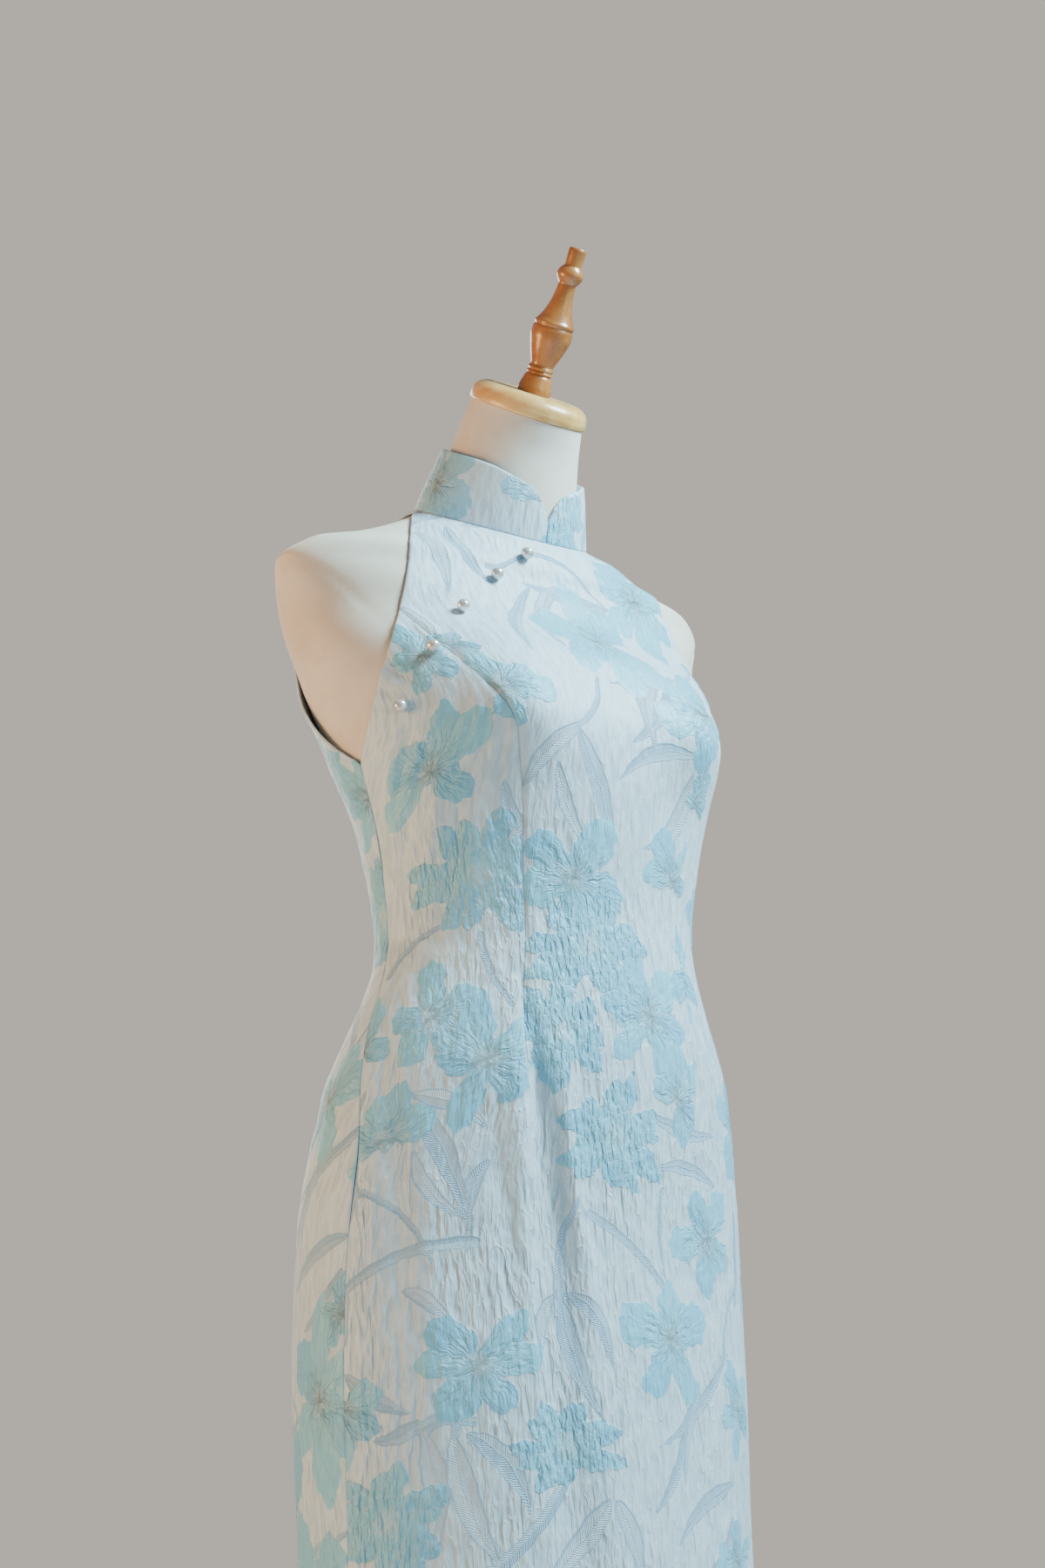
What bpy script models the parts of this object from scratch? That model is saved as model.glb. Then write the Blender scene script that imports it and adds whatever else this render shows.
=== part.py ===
"""A sleeveless stand-collar cheongsam on its limbless dress form.

Every height and width is worked from one table of body sections.  The cloth's
inner face is the skin through those sections; the form's body is the same skin
let in by the ease of the garment.
Place on the skin is told by two numbers: s runs round the body, 0 at the centre
front, 1 at the side, 2 at the centre back, negative on the wearer's right;
w is the height of the section's middle.
"""
import math

import bmesh
import bpy
import numpy as np
from mathutils import Vector
from mathutils.bvhtree import BVHTree

# ---------------------------------------------------------------- sizes, metres
CLOTH_WALL = 0.0014
COLLAR_WALL = 0.0020
SEAM_GAP = 0.0003
HEM_HEIGHT = 0.360
NECKLINE_HEIGHT = 1.402
COLLAR_TOP_HEIGHT = 1.452
SLIT_TOP_HEIGHT = 0.540
SLIT_OPENING_AT_HEM = 0.010
FORM_FOOT_HEIGHT = 0.720
FORM_NECK_HEIGHT = 1.4845

CAP_HEIGHT = 1.4895
CAP_MIDDLE_Y = -0.050
CAP_TILT = math.radians(34.0)
NECK_SHARE_UNDER_CAP = 0.98
CAP_HALF_WIDTH = 0.0465
CAP_HALF_DEPTH = 0.0500
CAP_THICK = 0.0165
CAP_RIM = 0.0058
CAP_BEVEL = 0.0118

POLE_RADIUS = 0.016
POLE_PLATE_RADIUS = 0.050
POLE_PLATE_THICK = 0.006
BASE_RADIUS = 0.170
BASE_THICK = 0.024
BASE_BOSS_RADIUS = 0.034
BASE_BOSS_HEIGHT = 0.038

PEARL_RADIUS = 0.0049
PEARL_SEAT_RADIUS = 0.0020
PEARL_SEAT_GAP = 0.0004

FRONT_COLUMNS = 22
BACK_COLUMNS = 12
COLLAR_ROWS = 4
FORM_COLUMNS = 40
ROUND_SIDES = 32
PEARL_SIDES = 10

# Body sections: height, forward tilt in degrees, half width, depth in front of
# and behind the section's middle, the middle's y, and how square each half is.
SECTION_COLUMNS = ("height", "tilt", "half_width", "front", "back", "middle_y", "front_form", "back_form")
SECTIONS = (
    (0.360, 0.0, 0.1760, 0.1280, 0.1540, -0.015, 2.0, 2.0),
    (0.500, 0.0, 0.1720, 0.1220, 0.1500, -0.014, 2.0, 2.0),
    (0.620, 0.0, 0.1700, 0.1190, 0.1480, -0.012, 2.0, 2.0),
    (0.746, 0.0, 0.1750, 0.1170, 0.1480, -0.012, 2.0, 2.0),
    (0.851, 0.0, 0.1760, 0.1110, 0.1360, -0.016, 2.0, 2.0),
    (0.944, -1.4, 0.1640, 0.1110, 0.1120, -0.023, 2.0, 2.0),
    (1.058, -3.5, 0.1275, 0.1000, 0.0820, -0.033, 2.0, 2.0),
    (1.130, -0.4, 0.1380, 0.1090, 0.0910, -0.033, 2.0, 2.0),
    (1.202, -0.3, 0.1570, 0.1200, 0.1090, -0.026, 2.0, 2.1),
    (1.261, 1.3, 0.1760, 0.1090, 0.1160, -0.017, 2.0, 2.2),
    (1.310, 4.7, 0.1860, 0.0890, 0.1120, -0.002, 2.0, 2.2),
    (1.345, 10.5, 0.1960, 0.0750, 0.0960, -0.003, 1.9, 2.0),
    (1.362, 13.5, 0.1755, 0.0605, 0.0810, -0.015, 1.8, 1.9),
    (1.376, 20.5, 0.1300, 0.0580, 0.0700, -0.016, 1.8, 1.9),
    (1.387, 23.5, 0.0990, 0.0520, 0.0660, -0.020, 1.9, 2.0),
    (1.402, 27.5, 0.0705, 0.0545, 0.0580, -0.012, 1.9, 2.1),
    (1.411, 28.5, 0.0585, 0.0505, 0.0560, -0.0185, 2.0, 2.0),
    (1.428, 28.0, 0.0545, 0.0490, 0.0530, -0.0245, 2.0, 2.0),
    (1.460, 27.0, 0.0505, 0.0455, 0.0500, -0.035, 2.0, 2.0),
    (1.4895, 34.0, 0.0450, 0.0415, 0.0415, -0.050, 2.0, 2.0),
)
# The bust point of each side and how far its fullness reaches.
BUST = {"x": 0.088, "height": 1.207, "out": 0.0243, "across": 0.042, "above": 0.055, "below": 0.038}

# Ease between the form and the cloth's inner face.
# Columns: height, ease.
EASE = (
    (0.720, 0.0110),
    (0.850, 0.0090),
    (0.940, 0.0060),
    (1.060, 0.0040),
    (1.130, 0.0030),
    (1.200, 0.0024),
    (1.310, 0.0018),
    (1.360, 0.0013),
    (1.402, 0.0012),
    (1.482, 0.0010),
)

# Where the front's edge runs round the body: side seam below the underarm,
# armhole above it, up to the short shoulder seam beside the collar.
# Columns: height, s.
FRONT_EDGE = (
    (0.360, 0.950),
    (0.500, 0.930),
    (0.680, 0.900),
    (0.810, 0.885),
    (0.890, 0.865),
    (0.950, 0.900),
    (1.000, 0.960),
    (1.060, 1.000),
    (1.120, 0.985),
    (1.180, 0.975),
    (1.190, 0.944),
    (1.205, 0.892),
    (1.220, 0.844),
    (1.235, 0.799),
    (1.250, 0.752),
    (1.265, 0.711),
    (1.280, 0.673),
    (1.295, 0.636),
    (1.3125, 0.604),
    (1.3325, 0.573),
    (1.340, 0.563),
    (1.3475, 0.559),
    (1.3535, 0.578),
    (1.358, 0.600),
    (1.362, 0.621),
    (1.3655, 0.644),
    (1.369, 0.676),
    (1.3725, 0.716),
    (1.376, 0.757),
    (1.379, 0.797),
    (1.3825, 0.851),
    (1.385, 0.895),
    (1.3875, 0.940),
    (1.390, 0.987),
    (1.3925, 1.038),
    (1.397, 1.150),
    (1.402, 1.200),
)
UNDERARM_HEIGHT = 1.180
# Columns: height, s.
BACK_ARMHOLE = (
    (1.180, 0.975),
    (1.190, 1.015),
    (1.200, 1.072),
    (1.2175, 1.138),
    (1.235, 1.195),
    (1.250, 1.255),
    (1.265, 1.306),
    (1.280, 1.344),
    (1.295, 1.375),
    (1.3125, 1.405),
    (1.3325, 1.427),
    (1.345, 1.433),
    (1.3535, 1.432),
    (1.362, 1.428),
    (1.369, 1.420),
    (1.376, 1.408),
    (1.3825, 1.390),
    (1.3875, 1.368),
    (1.3925, 1.333),
    (1.397, 1.288),
    (1.402, 1.205),
)

# Heights of the cloth's rings: each run starts at a height and keeps a step.
CLOTH_RING_STEPS = (
    (0.360, 0.0450),
    (0.720, 0.0350),
    (0.860, 0.0300),
    (1.130, 0.0167),
    (1.180, 0.0125),
    (1.205, 0.0150),
    (1.295, 0.00875),
    (1.3475, 0.00725),
    (1.362, 0.0050),
)
FORM_RING_STEPS = (
    (0.720, 0.0440),
    (0.940, 0.0380),
    (1.130, 0.0250),
    (1.180, 0.0125),
    (1.205, 0.0225),
    (1.295, 0.00875),
    (1.3475, 0.00725),
    (1.362, 0.0050),
    (1.402, 0.0045),
    (1.411, 0.0180),
)

# Soft folds of the skirt: where each begins and ends, its half width, and how
# far it sinks (minus) or stands out (plus).
FOLD_COLUMNS = ("s_top", "top_height", "s_low", "low_height", "half_width", "depth")
FOLDS = (
    (-0.335, 0.930, -0.190, 0.600, 0.016, -0.0042),
    (0.335, 0.930, 0.230, 0.560, 0.018, -0.0030),
    (-0.250, 0.900, -0.080, 0.580, 0.020, 0.0020),
    (-1.560, 0.900, -1.620, 0.560, 0.018, -0.0032),
    (1.560, 0.900, 1.600, 0.600, 0.017, -0.0036),
)

# The collar's upper edge, from the rounded front corner to the centre back.
COLLAR_EDGE = (
    (0.000, 1.4150),
    (0.012, 1.4185),
    (0.030, 1.4225),
    (0.062, 1.4280),
    (0.100, 1.4325),
    (0.150, 1.4365),
    (0.350, 1.4425),
    (0.630, 1.4475),
    (0.900, 1.4490),
    (1.200, 1.4505),
    (2.000, 1.4520),
)
COLLAR_STATIONS = (0.0, 0.012, 0.030, 0.062, 0.10, 0.15, 0.23, 0.33, 0.44, 0.55, 0.66, 0.77, 0.88, 1.0,
                   1.11, 1.22, 1.33, 1.44, 1.55, 1.66, 1.77, 1.89, 2.0)
COLLAR_EASE_FRONT = 0.0015
COLLAR_EASE_BACK = 0.0050

# Pearl buttons on the wearer's right, from the collar to the armhole.
BUTTON_COLUMNS = ("s", "height")
BUTTONS = (
    (-0.162, 1.3750),
    (-0.250, 1.3425),
    (-0.425, 1.2975),
    (-0.587, 1.2550),
    (-0.750, 1.2125),
)

# Turned finial: height above the cap and radius.
FINIAL = (
    (0.0000, 0.0136),
    (0.0030, 0.0134),
    (0.0100, 0.0118),
    (0.0135, 0.0108),
    (0.0150, 0.0098),
    (0.0165, 0.0108),
    (0.0182, 0.0098),
    (0.0200, 0.0107),
    (0.0220, 0.0097),
    (0.0260, 0.0103),
    (0.0310, 0.0122),
    (0.0380, 0.0145),
    (0.0460, 0.0164),
    (0.0515, 0.0161),
    (0.0532, 0.0152),
    (0.0555, 0.0161),
    (0.0590, 0.0141),
    (0.0650, 0.0112),
    (0.0750, 0.0084),
    (0.0840, 0.0072),
    (0.0880, 0.0070),
    (0.0905, 0.0088),
    (0.0953, 0.0106),
    (0.1000, 0.0088),
    (0.1028, 0.0066),
    (0.1150, 0.0070),
    (0.1165, 0.0062),
)

COLORS = {
    "dress_cloth": (0.80, 0.87, 0.92, 1.0),
    "pearl": (0.92, 0.90, 0.87, 1.0),
    "form_cover": (0.86, 0.82, 0.76, 1.0),
    "light_wood": (0.78, 0.56, 0.33, 1.0),
    "dark_wood": (0.62, 0.36, 0.17, 1.0),
    "stand_steel": (0.60, 0.60, 0.61, 1.0),
}

DENSE_POINTS = 181
STEP_ROUND = 0.008
STEP_UP = 0.0012


# ------------------------------------------------------------------- the skin
def through(table, height):
    """Smooth values at given heights from a table whose first column is height."""
    rows = np.array(table, dtype=float)
    xs = rows[:, 0]
    ys = rows[:, 1:]
    span = np.diff(xs)
    slope = np.diff(ys, axis=0) / span[:, None]
    tangent = np.zeros_like(ys)
    tangent[0] = slope[0]
    tangent[-1] = slope[-1]
    before = slope[:-1]
    after = slope[1:]
    weight_a = (2.0 * span[1:] + span[:-1])[:, None]
    weight_b = (span[1:] + 2.0 * span[:-1])[:, None]
    same_way = before * after > 0.0
    safe_before = np.where(same_way, before, 1.0)
    safe_after = np.where(same_way, after, 1.0)
    mean = (weight_a + weight_b) / (weight_a / safe_before + weight_b / safe_after)
    tangent[1:-1] = np.where(same_way, mean, 0.0)
    at = np.clip(np.atleast_1d(np.asarray(height, dtype=float)), xs[0], xs[-1])
    i = np.clip(np.searchsorted(xs, at, side="right") - 1, 0, len(span) - 1)
    t = ((at - xs[i]) / span[i])[:, None]
    h = span[i][:, None]
    return (
        (2 * t**3 - 3 * t**2 + 1) * ys[i]
        + (t**3 - 2 * t**2 + t) * h * tangent[i]
        + (3 * t**2 - 2 * t**3) * ys[i + 1]
        + (t**3 - t**2) * h * tangent[i + 1]
    )


def quarter_line(height, behind):
    """Dense points of one quarter of a section, from its middle line to the side."""
    values = through(SECTIONS, height)[0]
    size = dict(zip(SECTION_COLUMNS[1:], values))
    turn = np.linspace(0.0, math.pi / 2.0, DENSE_POINTS)
    power = 2.0 / (size["back_form"] if behind else size["front_form"])
    reach = size["back"] if behind else -size["front"]
    x = size["half_width"] * np.sin(turn) ** power
    y = size["middle_y"] + reach * np.abs(np.cos(turn)) ** power
    if not behind:
        rise = height - BUST["height"]
        spread = BUST["above"] if rise > 0.0 else BUST["below"]
        full = math.exp(-((rise / spread) ** 2))
        y = y - BUST["out"] * full * np.exp(-(((x - BUST["x"]) / BUST["across"]) ** 2))
    z = height + (y - size["middle_y"]) * math.tan(math.radians(size["tilt"]))
    return np.stack([x, y, z], axis=1)


def along(points):
    """Length from the first point to each point of a line."""
    steps = np.linalg.norm(np.diff(points, axis=0), axis=1)
    return np.concatenate([[0.0], np.cumsum(steps)])


def quarter_length(height, behind):
    return along(quarter_line(height, behind))[-1]


def ring(height, s_values):
    """Points of one section at the given places round the body."""
    s_values = np.asarray(s_values, dtype=float)
    out = np.zeros((len(s_values), 3))
    for behind in (False, True):
        line = quarter_line(height, behind)
        length = along(line)
        place = np.abs(s_values)
        share = 2.0 - place if behind else place
        chosen = place > 1.0 if behind else place <= 1.0
        for k in range(3):
            value = np.interp(share * length[-1], length, line[:, k])
            out[chosen, k] = value[chosen]
    out[:, 0] *= np.where(s_values < 0.0, -1.0, 1.0)
    return out


def wrap(s_values):
    """Bring places past the centre back round to the other side."""
    return (np.asarray(s_values, dtype=float) + 2.0) % 4.0 - 2.0


def normals(height, s_values):
    """Outward unit normals of the skin."""
    s_values = np.asarray(s_values, dtype=float)
    low = max(height - STEP_UP, HEM_HEIGHT)
    high = min(height + STEP_UP, SECTIONS[-1][0])
    across = ring(height, wrap(s_values + STEP_ROUND)) - ring(height, wrap(s_values - STEP_ROUND))
    up = ring(high, s_values) - ring(low, s_values)
    out = np.cross(across, up)
    return out / np.linalg.norm(out, axis=1, keepdims=True)


def smooth(value):
    value = np.clip(value, 0.0, 1.0)
    return value * value * (3.0 - 2.0 * value)


def fold_depth(height, s_values):
    """How far the folds move the cloth at one height."""
    total = np.zeros(len(s_values))
    for row in FOLDS:
        fold = dict(zip(FOLD_COLUMNS, row))
        drop = fold["top_height"] - height
        share = np.clip(drop / (fold["top_height"] - fold["low_height"]), 0.0, 1.0)
        middle = fold["s_top"] + (fold["s_low"] - fold["s_top"]) * share
        width = quarter_length(height, abs(middle) > 1.0)
        away = (np.asarray(s_values) - middle) * width / fold["half_width"]
        grown = smooth(drop / 0.10) * (1.0 - 0.45 * smooth((fold["low_height"] - height) / 0.20))
        total += fold["depth"] * grown * np.exp(-(away**2))
    return total


def cloth_point_rows(height, s_values, lift):
    """Points of the cloth at a height above its inner face."""
    move = lift + fold_depth(height, s_values)
    return ring(height, s_values) + normals(height, s_values) * np.asarray(move)[:, None]


def ring_heights(steps, last):
    """List of heights worked from runs of equal steps."""
    heights = []
    ends = [row[0] for row in steps[1:]] + [last]
    for (start, step), end in zip(steps, ends):
        count = max(1, round((end - start) / step))
        heights += [start + (end - start) * k / count for k in range(count)]
    return heights + [last]


def edge_place(table, height):
    """Place of an edge at a height, smooth between the table's rows."""
    return float(through(table, height)[0][0])


# --------------------------------------------------------------- mesh building
def material(slot):
    found = bpy.data.materials.get(slot)
    if found:
        return found
    made = bpy.data.materials.new(slot)
    made.use_nodes = True
    shader = made.node_tree.nodes["Principled BSDF"]
    shader.inputs["Base Color"].default_value = COLORS[slot]
    shader.inputs["Roughness"].default_value = 0.35 if slot in ("pearl", "dark_wood") else 0.7
    shader.inputs["Metallic"].default_value = 1.0 if slot == "stand_steel" else 0.0
    made.diffuse_color = COLORS[slot]
    return made


def add_solid(name, points, faces, slot):
    """One closed body with its faces turned outward."""
    mesh = bpy.data.meshes.new(name)
    work = bmesh.new()
    corners = [work.verts.new(tuple(float(v) for v in p)) for p in points]
    for face in faces:
        work.faces.new([corners[i] for i in face])
    bmesh.ops.recalc_face_normals(work, faces=work.faces)
    bmesh.ops.triangulate(work, faces=work.faces, quad_method="FIXED")
    work.to_mesh(mesh)
    work.free()
    mesh.materials.append(material(slot))
    thing = bpy.data.objects.new(name, mesh)
    bpy.context.scene.collection.objects.link(thing)
    return thing


def wall_solid(name, inner, outer, slot):
    """A sheet with thickness from two equal grids of points."""
    inner = np.asarray(inner)
    outer = np.asarray(outer)
    rows, columns, _ = inner.shape
    points = np.concatenate([inner.reshape(-1, 3), outer.reshape(-1, 3)])
    half = rows * columns
    faces = []
    for r in range(rows - 1):
        for c in range(columns - 1):
            a = r * columns + c
            b = a + 1
            d = a + columns
            e = d + 1
            faces.append((a, d, e, b))
            faces.append((half + a, half + b, half + e, half + d))
    border = [c for c in range(columns)]
    border += [r * columns + columns - 1 for r in range(1, rows)]
    border += [(rows - 1) * columns + c for c in range(columns - 2, -1, -1)]
    border += [r * columns for r in range(rows - 2, 0, -1)]
    for i, a in enumerate(border):
        b = border[(i + 1) % len(border)]
        faces.append((a, b, half + b, half + a))
    return add_solid(name, points, faces, slot)


def stacked_solid(name, rings, slot):
    """A closed body through rings of equal count, capped at both ends."""
    rings = [np.asarray(r) for r in rings]
    count = len(rings[0])
    points = np.concatenate(rings + [rings[0].mean(axis=0)[None], rings[-1].mean(axis=0)[None]])
    low_middle = len(points) - 2
    high_middle = len(points) - 1
    faces = []
    for r in range(len(rings) - 1):
        for c in range(count):
            a = r * count + c
            b = r * count + (c + 1) % count
            faces.append((a, b, b + count, a + count))
    last = (len(rings) - 1) * count
    for c in range(count):
        d = (c + 1) % count
        faces.append((low_middle, d, c))
        faces.append((high_middle, last + c, last + d))
    return add_solid(name, points, faces, slot)


def turned_solid(name, profile, foot, axis, sides, slot, stretch=1.0):
    """A body turned on an axis: profile rows are height along it and radius."""
    axis = Vector(axis).normalized()
    side = Vector((1.0, 0.0, 0.0))
    if abs(axis.dot(side)) > 0.9:
        side = Vector((0.0, 1.0, 0.0))
    deep = axis.cross(side).normalized()
    side = deep.cross(axis).normalized()
    rings = []
    for height, radius in profile:
        line = []
        for k in range(sides):
            angle = 2.0 * math.pi * k / sides
            reach = side * math.cos(angle) + deep * (math.sin(angle) * stretch)
            line.append(Vector(foot) + axis * height + reach * radius)
        rings.append(line)
    return stacked_solid(name, rings, slot)


# ------------------------------------------------------------------ the garment
def panel(name, low_edge, high_edge, columns):
    """A cloth panel between two edges, from the hem to the neckline."""
    heights = ring_heights(CLOTH_RING_STEPS, NECKLINE_HEIGHT)
    inner = []
    outer = []
    for height in heights:
        s_values = np.linspace(low_edge(height), high_edge(height), columns + 1)
        zero = np.zeros(columns + 1)
        inner.append(cloth_point_rows(height, s_values, zero))
        outer.append(cloth_point_rows(height, s_values, zero + CLOTH_WALL))
    return wall_solid(name, inner, outer, "dress_cloth")


def seam_share(height, behind):
    """Half of a seam's gap as a share of the quarter it lies in."""
    opening = SEAM_GAP
    if height < SLIT_TOP_HEIGHT:
        opening += SLIT_OPENING_AT_HEM * (SLIT_TOP_HEIGHT - height) / (SLIT_TOP_HEIGHT - HEM_HEIGHT)
    return 0.5 * opening / quarter_length(height, behind)


def front_edge(height):
    return edge_place(FRONT_EDGE, height) - seam_share(height, False)


def back_edge(height):
    if height <= UNDERARM_HEIGHT:
        return edge_place(FRONT_EDGE, height) + seam_share(height, False)
    return edge_place(BACK_ARMHOLE, height) + seam_share(height, True)


def back_middle(height):
    return 2.0 - seam_share(SLIT_TOP_HEIGHT, True)


def collar_half(name, hand):
    """Half of the stand collar, from the centre front to the centre back."""
    gap_s = 0.5 * SEAM_GAP / quarter_length(NECKLINE_HEIGHT, False)
    stations = [min(max(s, gap_s), 2.0 - gap_s) for s in COLLAR_STATIONS]
    s_values = np.array(stations) * hand
    foot = ring(NECKLINE_HEIGHT, s_values)
    panel_out = normals(NECKLINE_HEIGHT, s_values)
    ease = COLLAR_EASE_FRONT + (COLLAR_EASE_BACK - COLLAR_EASE_FRONT) * np.abs(s_values) / 2.0
    head = ring(COLLAR_TOP_HEIGHT, s_values) + normals(COLLAR_TOP_HEIGHT, s_values) * ease[:, None]
    rise = head - foot
    rise_unit = rise / np.linalg.norm(rise, axis=1, keepdims=True)
    near = wrap(s_values + STEP_ROUND)
    far = wrap(s_values - STEP_ROUND)
    round_way = ring(NECKLINE_HEIGHT, near) - ring(NECKLINE_HEIGHT, far)
    out = np.cross(round_way, rise_unit)
    out /= np.linalg.norm(out, axis=1, keepdims=True)
    lean = np.linalg.norm(np.cross(out, panel_out), axis=1)
    start = foot + rise_unit * (SEAM_GAP + CLOTH_WALL * lean)[:, None]
    top = np.array([edge_place(COLLAR_EDGE, abs(s)) for s in stations])
    share = (top - NECKLINE_HEIGHT) / (COLLAR_TOP_HEIGHT - NECKLINE_HEIGHT)
    inner = []
    outer = []
    for r in range(COLLAR_ROWS + 1):
        line = start + (foot + rise - start) * (share * r / COLLAR_ROWS)[:, None]
        inner.append(line)
        outer.append(line + out * COLLAR_WALL)
    return wall_solid(name, inner, outer, "dress_cloth")


def pearl(name, s, height, cloth):
    """A pearl with a small flat seat just clear of the cloth."""
    middle = ring(height, [s])[0]
    out = Vector(normals(height, [s])[0])
    start = Vector(middle) + out * 0.02
    hit, _, _, _ = cloth.ray_cast(start, -out)
    foot = hit + out * PEARL_SEAT_GAP
    lift = math.sqrt(PEARL_RADIUS**2 - PEARL_SEAT_RADIUS**2)
    first = math.asin(-lift / PEARL_RADIUS)
    profile = [(0.0, PEARL_SEAT_RADIUS)]
    for k in range(1, 8):
        angle = first + (math.pi / 2.0 - first) * k / 8.0
        profile.append((lift + PEARL_RADIUS * math.sin(angle), PEARL_RADIUS * math.cos(angle)))
    profile.append((lift + PEARL_RADIUS * 0.999, PEARL_RADIUS * 0.04))
    return turned_solid(name, profile, foot, out, PEARL_SIDES, "pearl")


# --------------------------------------------------------------- the dress form
def form_body():
    """The covered body, let in from the cloth by its ease."""
    rings = []
    for height in ring_heights(FORM_RING_STEPS, FORM_NECK_HEIGHT):
        s_values = -2.0 + 4.0 * np.arange(FORM_COLUMNS) / FORM_COLUMNS
        ease = float(through(EASE, height)[0][0])
        rings.append(ring(height, s_values) - normals(height, s_values) * ease)
    rings[0][:, 2] = FORM_FOOT_HEIGHT
    under_cap = ring(CAP_HEIGHT, s_values)
    middle = under_cap.mean(axis=0)
    rings.append(middle + (under_cap - middle) * NECK_SHARE_UNDER_CAP)
    return stacked_solid("torso", rings, "form_cover")


def form_top():
    """The tilted oval cap and the finial standing square on it."""
    up = Vector((0.0, -math.sin(CAP_TILT), math.cos(CAP_TILT)))
    foot = Vector((0.0, CAP_MIDDLE_Y, CAP_HEIGHT)) + up * SEAM_GAP
    profile = [(0.0, CAP_HALF_WIDTH - 0.0012), (0.0012, CAP_HALF_WIDTH)]
    for angle in np.radians((0.0, 22.5, 45.0, 67.5, 90.0)):
        height = CAP_RIM + (CAP_THICK - CAP_RIM) * math.sin(angle)
        profile.append((height, CAP_HALF_WIDTH - CAP_BEVEL * (1.0 - math.cos(angle))))
    turned_solid("neck_cap", profile, foot, up, ROUND_SIDES, "light_wood", CAP_HALF_DEPTH / CAP_HALF_WIDTH)
    top = foot + up * (CAP_THICK + SEAM_GAP)
    turned_solid("finial", FINIAL, top, up, 24, "dark_wood")


def stand():
    """The foot and the tube with the plate that carries the body."""
    axis = (0.0, 0.0, 1.0)
    base_profile = (
        (0.0, BASE_RADIUS - 0.002),
        (0.002, BASE_RADIUS),
        (BASE_THICK - 0.006, BASE_RADIUS),
        (BASE_THICK - 0.0015, BASE_RADIUS - 0.0025),
        (BASE_THICK, BASE_RADIUS - 0.008),
        (BASE_THICK, BASE_BOSS_RADIUS + 0.003),
        (BASE_BOSS_HEIGHT - 0.003, BASE_BOSS_RADIUS),
        (BASE_BOSS_HEIGHT, BASE_BOSS_RADIUS - 0.004),
    )
    turned_solid("base", base_profile, (0.0, 0.0, 0.0), axis, 48, "light_wood")
    foot = BASE_BOSS_HEIGHT + SEAM_GAP
    top = FORM_FOOT_HEIGHT - SEAM_GAP - foot
    pole_profile = (
        (0.0, POLE_RADIUS),
        (top - POLE_PLATE_THICK - 0.030, POLE_RADIUS),
        (top - POLE_PLATE_THICK - 0.030, POLE_RADIUS + 0.005),
        (top - POLE_PLATE_THICK, POLE_RADIUS + 0.005),
        (top - POLE_PLATE_THICK, POLE_PLATE_RADIUS),
        (top, POLE_PLATE_RADIUS),
    )
    turned_solid("pole", pole_profile, (0.0, 0.0, foot), axis, ROUND_SIDES, "stand_steel")


def build():
    for thing in list(bpy.data.objects):
        bpy.data.objects.remove(thing, do_unlink=True)
    front = panel("front", lambda h: -front_edge(h), front_edge, FRONT_COLUMNS)
    panel("back_left", back_edge, back_middle, BACK_COLUMNS)
    panel("back_right", lambda h: -back_middle(h), lambda h: -back_edge(h), BACK_COLUMNS)
    collar_half("collar_left", 1.0)
    collar_half("collar_right", -1.0)
    mesh = front.data
    corners = [v.co.copy() for v in mesh.vertices]
    cloth = BVHTree.FromPolygons(corners, [tuple(p.vertices) for p in mesh.polygons])
    for number, row in enumerate(BUTTONS, start=1):
        place = dict(zip(BUTTON_COLUMNS, row))
        pearl("button_%d" % number, place["s"], place["height"], cloth)
    form_body()
    form_top()
    stand()


build()
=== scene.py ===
"""The looks of a sleeveless stand-collar cheongsam standing on its dress form."""
import math

import bpy
import numpy as np
from mathutils import Matrix, Vector


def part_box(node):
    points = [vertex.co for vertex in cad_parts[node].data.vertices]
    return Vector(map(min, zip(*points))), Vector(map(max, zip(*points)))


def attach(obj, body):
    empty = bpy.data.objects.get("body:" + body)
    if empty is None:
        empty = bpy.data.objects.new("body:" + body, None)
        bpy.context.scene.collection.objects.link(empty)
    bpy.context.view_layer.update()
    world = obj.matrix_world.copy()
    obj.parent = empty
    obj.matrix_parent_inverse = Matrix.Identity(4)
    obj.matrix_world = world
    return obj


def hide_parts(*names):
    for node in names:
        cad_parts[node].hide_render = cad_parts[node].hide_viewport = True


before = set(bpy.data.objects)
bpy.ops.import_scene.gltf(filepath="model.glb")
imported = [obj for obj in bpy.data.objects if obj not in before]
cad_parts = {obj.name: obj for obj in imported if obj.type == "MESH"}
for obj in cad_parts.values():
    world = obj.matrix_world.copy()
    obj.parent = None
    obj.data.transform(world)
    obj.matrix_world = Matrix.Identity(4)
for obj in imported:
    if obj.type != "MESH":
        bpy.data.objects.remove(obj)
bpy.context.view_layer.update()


# =============================================================================
# The form's body. A hard moulded shell covered in off-white jersey, drawn tight
# and sewn up the centre back and round each arm plate. It carries the dress and
# stands on the plate of the pole.

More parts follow.
